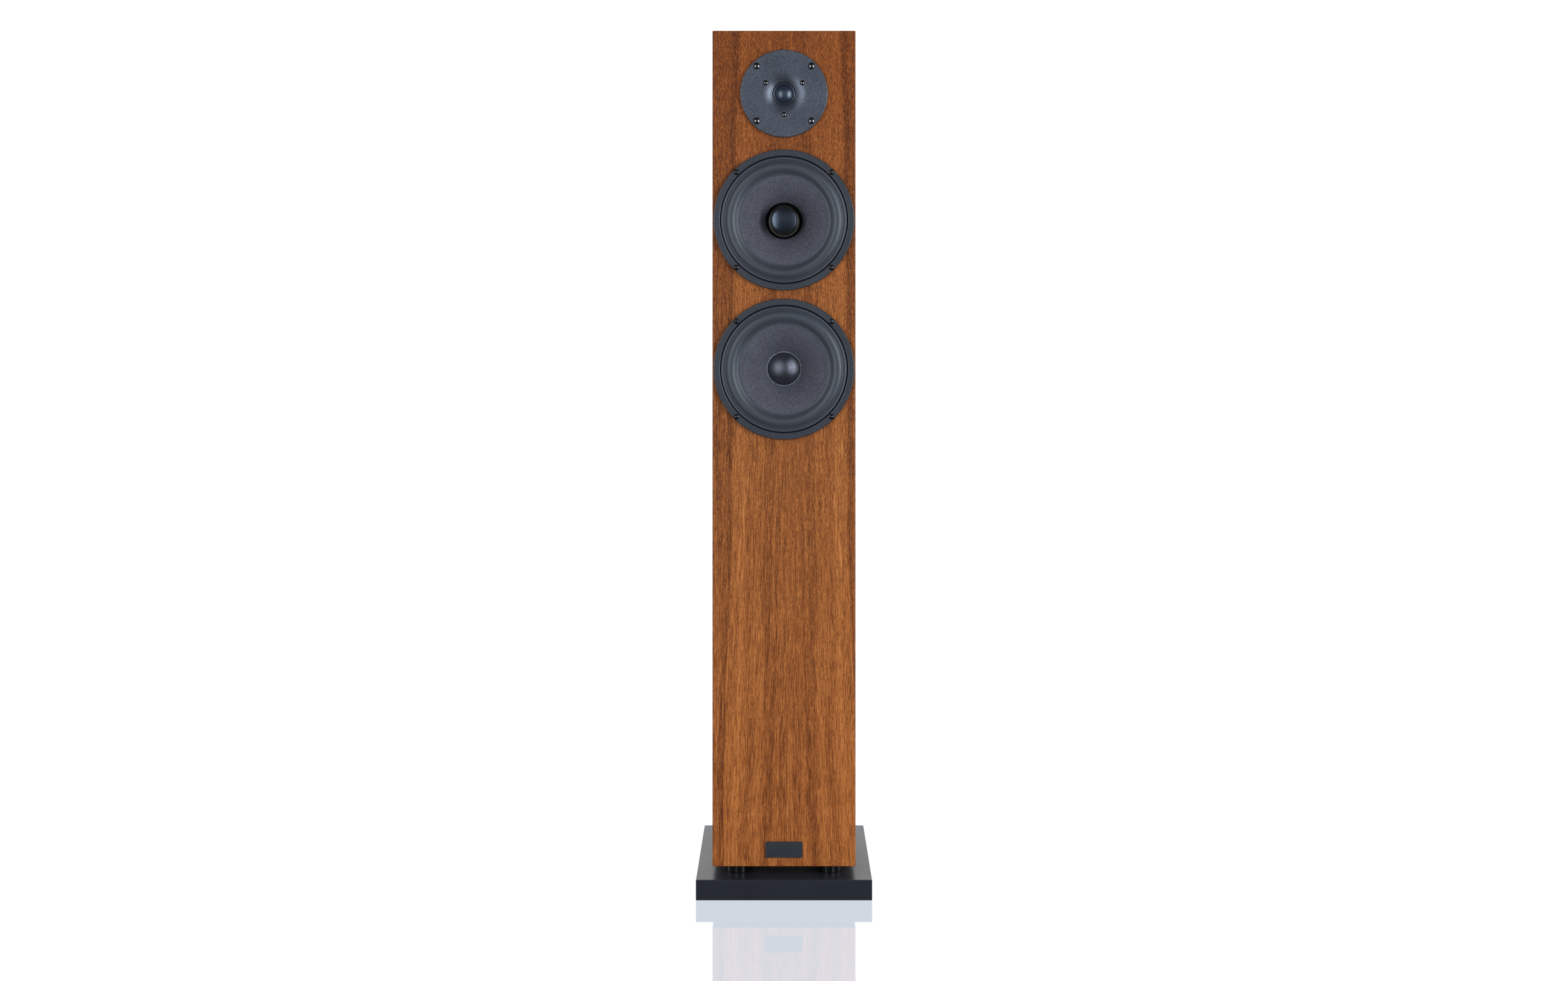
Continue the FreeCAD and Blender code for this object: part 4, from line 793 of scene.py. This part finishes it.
def woofer_dust_cap():
    """Woven cap over the coil, with a bead of glue round its rim."""

    def lumps(angle, _radius):
        return 0.12 * math.sin(23 * angle) + 0.08 * math.sin(57 * angle + 1)

    cap = turned("woofer_cap", [
        *arc((20.2, -22.8), (0.0, -13.8), -dome_rise(20.2, 9.0), 40),
        *arc((0.0, -14.4), (19.4, -22.8), dome_rise(19.4, 8.4), 40),
    ], [AXES["woofer"]], MATERIALS["woven_cap"])
    glue = turned("woofer_cap_glue", [
        *arc((19.9, -22.4), (21.6, -21.9), -0.75, 10),
        (20.6, -22.6),
    ], [AXES["woofer"]], MATERIALS["glue"], wobble=lumps)
    for piece in (cap, glue):
        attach(piece, "woofer_moving")
    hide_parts("woofer_dust_cap")


def dome_rise(radius, tall):
    """How far half a dome's outline stands off the straight line from its rim to its top."""
    ball = (radius**2 + tall**2) / (2 * tall)
    return ball - math.sqrt(ball**2 - (radius**2 + tall**2) / 4)


def post_knob(colour):
    """Fluted grip of a binding post, with a chamfered front."""
    low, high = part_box(f"{colour}_post_knob")
    axis = Vector(((low.x + high.x) / 2, 0, (low.z + high.z) / 2))
    back, front = low.y / MM, high.y / MM
    bore, grip, flutes = 3.57, 6.55, 18
    outline = rounded([
        (bore, back), (grip - 0.5, back, 0.2), (grip - 0.5, back + 1.6, 0.2), (grip, back + 2.0, 0.2),
        (grip, front - 2.2, 0.4), (grip - 0.7, front - 1.4, 0.3), (grip - 0.9, front, 0.3),
        (5.0, front, 0.2), (4.8, front - 0.5, 0.2), (bore, front - 0.5)])

    def flute(angle, radius):
        on_grip = radius > grip - 0.1
        return 0.14 * math.cos(flutes * angle) if on_grip else 0.0

    knob = turned(f"{colour}_grip", outline, [axis], MATERIALS[f"{colour}_plastic"], facing=1,
                  wobble=flute)
    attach(knob, f"{colour}_knob")
    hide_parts(f"{colour}_post_knob")


# ---------------------------------------------------------------- stage, lights, camera

CAMERA_BACK = 2.612
CAMERA_HEIGHT = 0.668
CAMERA_LENS = 50.5
CAMERA_SHIFT = -0.0995
AIM_HEIGHT = 0.95
SENSOR_WIDTH = 36
LAMP_COLOUR = (0.95, 0.98, 1.0)
LAMP_DISTANCE = 2.2
LAMP_WIDTH = 0.65
LAMP_TALL = 1.65
WHITE = 1.12
EYE_LEVEL = 0.48
STEEP = 0.08
FLOOR_REACH = 30.0
FLOOR_GLOW = rgb(210, 218, 228)
FLOOR_SEEN = 1.5
FLOOR_FOR_GLOSS = 0.08
FLOOR_FOR_THE_REST = 0.38
FLOOR_MIRROR = 0.36


def add_camera():
    camera = bpy.data.objects.new("camera", bpy.data.cameras.new("camera"))
    camera.location = (0, FRONT - CAMERA_BACK, CAMERA_HEIGHT)
    camera.rotation_euler = (math.pi / 2, 0, 0)
    camera.data.lens = CAMERA_LENS
    camera.data.sensor_width = SENSOR_WIDTH
    camera.data.shift_y = CAMERA_SHIFT
    bpy.context.scene.collection.objects.link(camera)
    bpy.context.scene.camera = camera


def keep_unlit(piece):
    """A collection for the lamps that leaves one piece out of their light."""
    unlit = bpy.data.collections.new("unlit")
    unlit.objects.link(piece)
    unlit.collection_objects[0].light_linking.link_state = "EXCLUDE"
    return unlit


def add_softbox(name, azimuth, height, radiance, unlit):
    """A rectangular lamp that faces the drivers; azimuth in degrees from the front towards +x.

    The pieces in unlit are left out of its light, so that they do not mirror it either.
    """
    lamp = bpy.data.lights.new(name, "AREA")
    lamp.shape = "RECTANGLE"
    lamp.size = LAMP_WIDTH
    lamp.size_y = LAMP_TALL
    lamp.energy = radiance * math.pi * LAMP_WIDTH * LAMP_TALL
    lamp.color = LAMP_COLOUR
    holder = bpy.data.objects.new(name, lamp)
    angle = math.radians(azimuth)
    holder.location = (LAMP_DISTANCE * math.sin(angle), FRONT - LAMP_DISTANCE * math.cos(angle), height)
    aim = Vector((0, FRONT, AIM_HEIGHT)) - holder.location
    holder.rotation_euler = aim.to_track_quat("-Z", "Y").to_euler()
    holder.visible_camera = False
    holder.light_linking.receiver_collection = unlit
    bpy.context.scene.collection.objects.link(holder)


def add_world():
    """White behind the object; in front of it a dim band at eye level, dark above and below."""
    world = bpy.data.worlds.new("studio")
    world.use_nodes = True
    tree = world.node_tree

    def run(value, first, last, to_first, to_last):
        node = tree.nodes.new("ShaderNodeMapRange")
        node.interpolation_type = "SMOOTHSTEP"
        for socket, number in zip(node.inputs, (value, first, last, to_first, to_last)):
            if isinstance(number, bpy.types.NodeSocket):
                tree.links.new(number, socket)
            else:
                socket.default_value = number
        return node.outputs["Result"]

    way = tree.nodes.new("ShaderNodeTexCoord").outputs["Generated"]
    split = tree.nodes.new("ShaderNodeSeparateXYZ")
    tree.links.new(way, split.inputs[0])
    steep = tree.nodes.new("ShaderNodeMath")
    steep.operation = "ABSOLUTE"
    tree.links.new(split.outputs["Z"], steep.inputs[0])
    band = run(steep.outputs[0], 0.15, 0.6, EYE_LEVEL, STEEP)
    around = run(split.outputs["Y"], -0.35, 0.35, band, WHITE)
    seen = tree.nodes.new("ShaderNodeLightPath").outputs["Is Camera Ray"]
    background = tree.nodes["Background"]
    tree.links.new(run(seen, 0.0, 1.0, around, WHITE), background.inputs["Strength"])
    background.inputs["Color"].default_value = (1, 1, 1, 1)
    bpy.context.scene.world = world


def add_floor():
    """Polished pale floor with a faint mirror image of what stands on it; dark where gloss mirrors it."""
    corners = [(-FLOOR_REACH, -FLOOR_REACH, 0), (FLOOR_REACH, -FLOOR_REACH, 0),
               (FLOOR_REACH, FLOOR_REACH, 0), (-FLOOR_REACH, FLOOR_REACH, 0)]
    mesh = bpy.data.meshes.new("floor")
    mesh.from_pydata(corners, [], [(0, 1, 2, 3)])
    floor = bpy.data.objects.new("floor", mesh)
    bpy.context.scene.collection.objects.link(floor)
    material = bpy.data.materials.new("floor")
    material.use_nodes = True
    tree = material.node_tree
    tree.nodes.remove(tree.nodes["Principled BSDF"])
    glow = tree.nodes.new("ShaderNodeEmission")
    glow.inputs["Color"].default_value = FLOOR_GLOW
    path = tree.nodes.new("ShaderNodeLightPath")
    mirrored = tree.nodes.new("ShaderNodeMapRange")
    tree.links.new(path.outputs["Is Glossy Ray"], mirrored.inputs["Value"])
    mirrored.inputs["To Min"].default_value = FLOOR_FOR_THE_REST
    mirrored.inputs["To Max"].default_value = FLOOR_FOR_GLOSS
    level = tree.nodes.new("ShaderNodeMapRange")
    tree.links.new(path.outputs["Is Camera Ray"], level.inputs["Value"])
    tree.links.new(mirrored.outputs["Result"], level.inputs["To Min"])
    level.inputs["To Max"].default_value = FLOOR_SEEN
    tree.links.new(level.outputs["Result"], glow.inputs["Strength"])
    mirror = tree.nodes.new("ShaderNodeBsdfGlossy")
    mirror.inputs["Roughness"].default_value = 0.04
    mirror.inputs["Color"].default_value = (1, 1, 1, 1)
    blend = tree.nodes.new("ShaderNodeMixShader")
    blend.inputs["Fac"].default_value = FLOOR_MIRROR
    tree.links.new(glow.outputs[0], blend.inputs[1])
    tree.links.new(mirror.outputs[0], blend.inputs[2])
    tree.links.new(blend.outputs[0], tree.nodes["Material Output"].inputs["Surface"])
    mesh.materials.append(material)
    return floor


paint_cabinet()
paint_the_rest()
for woofer in WOOFERS:
    woofer_surround(woofer)
    woofer_screws(woofer)
    spider(woofer)
phase_plug()
painted_neck_shade()
tweeter_surround()
tweeter_screws()
woofer_dust_cap()
for post in POSTS:
    post_knob(post)

add_camera()
add_world()
without_floor = keep_unlit(add_floor())
add_softbox("softbox_right", 47, 1.0, 7.8, without_floor)
add_softbox("softbox_left", -30, 0.95, 4.3, without_floor)
bpy.context.scene.view_settings.view_transform = "Standard"
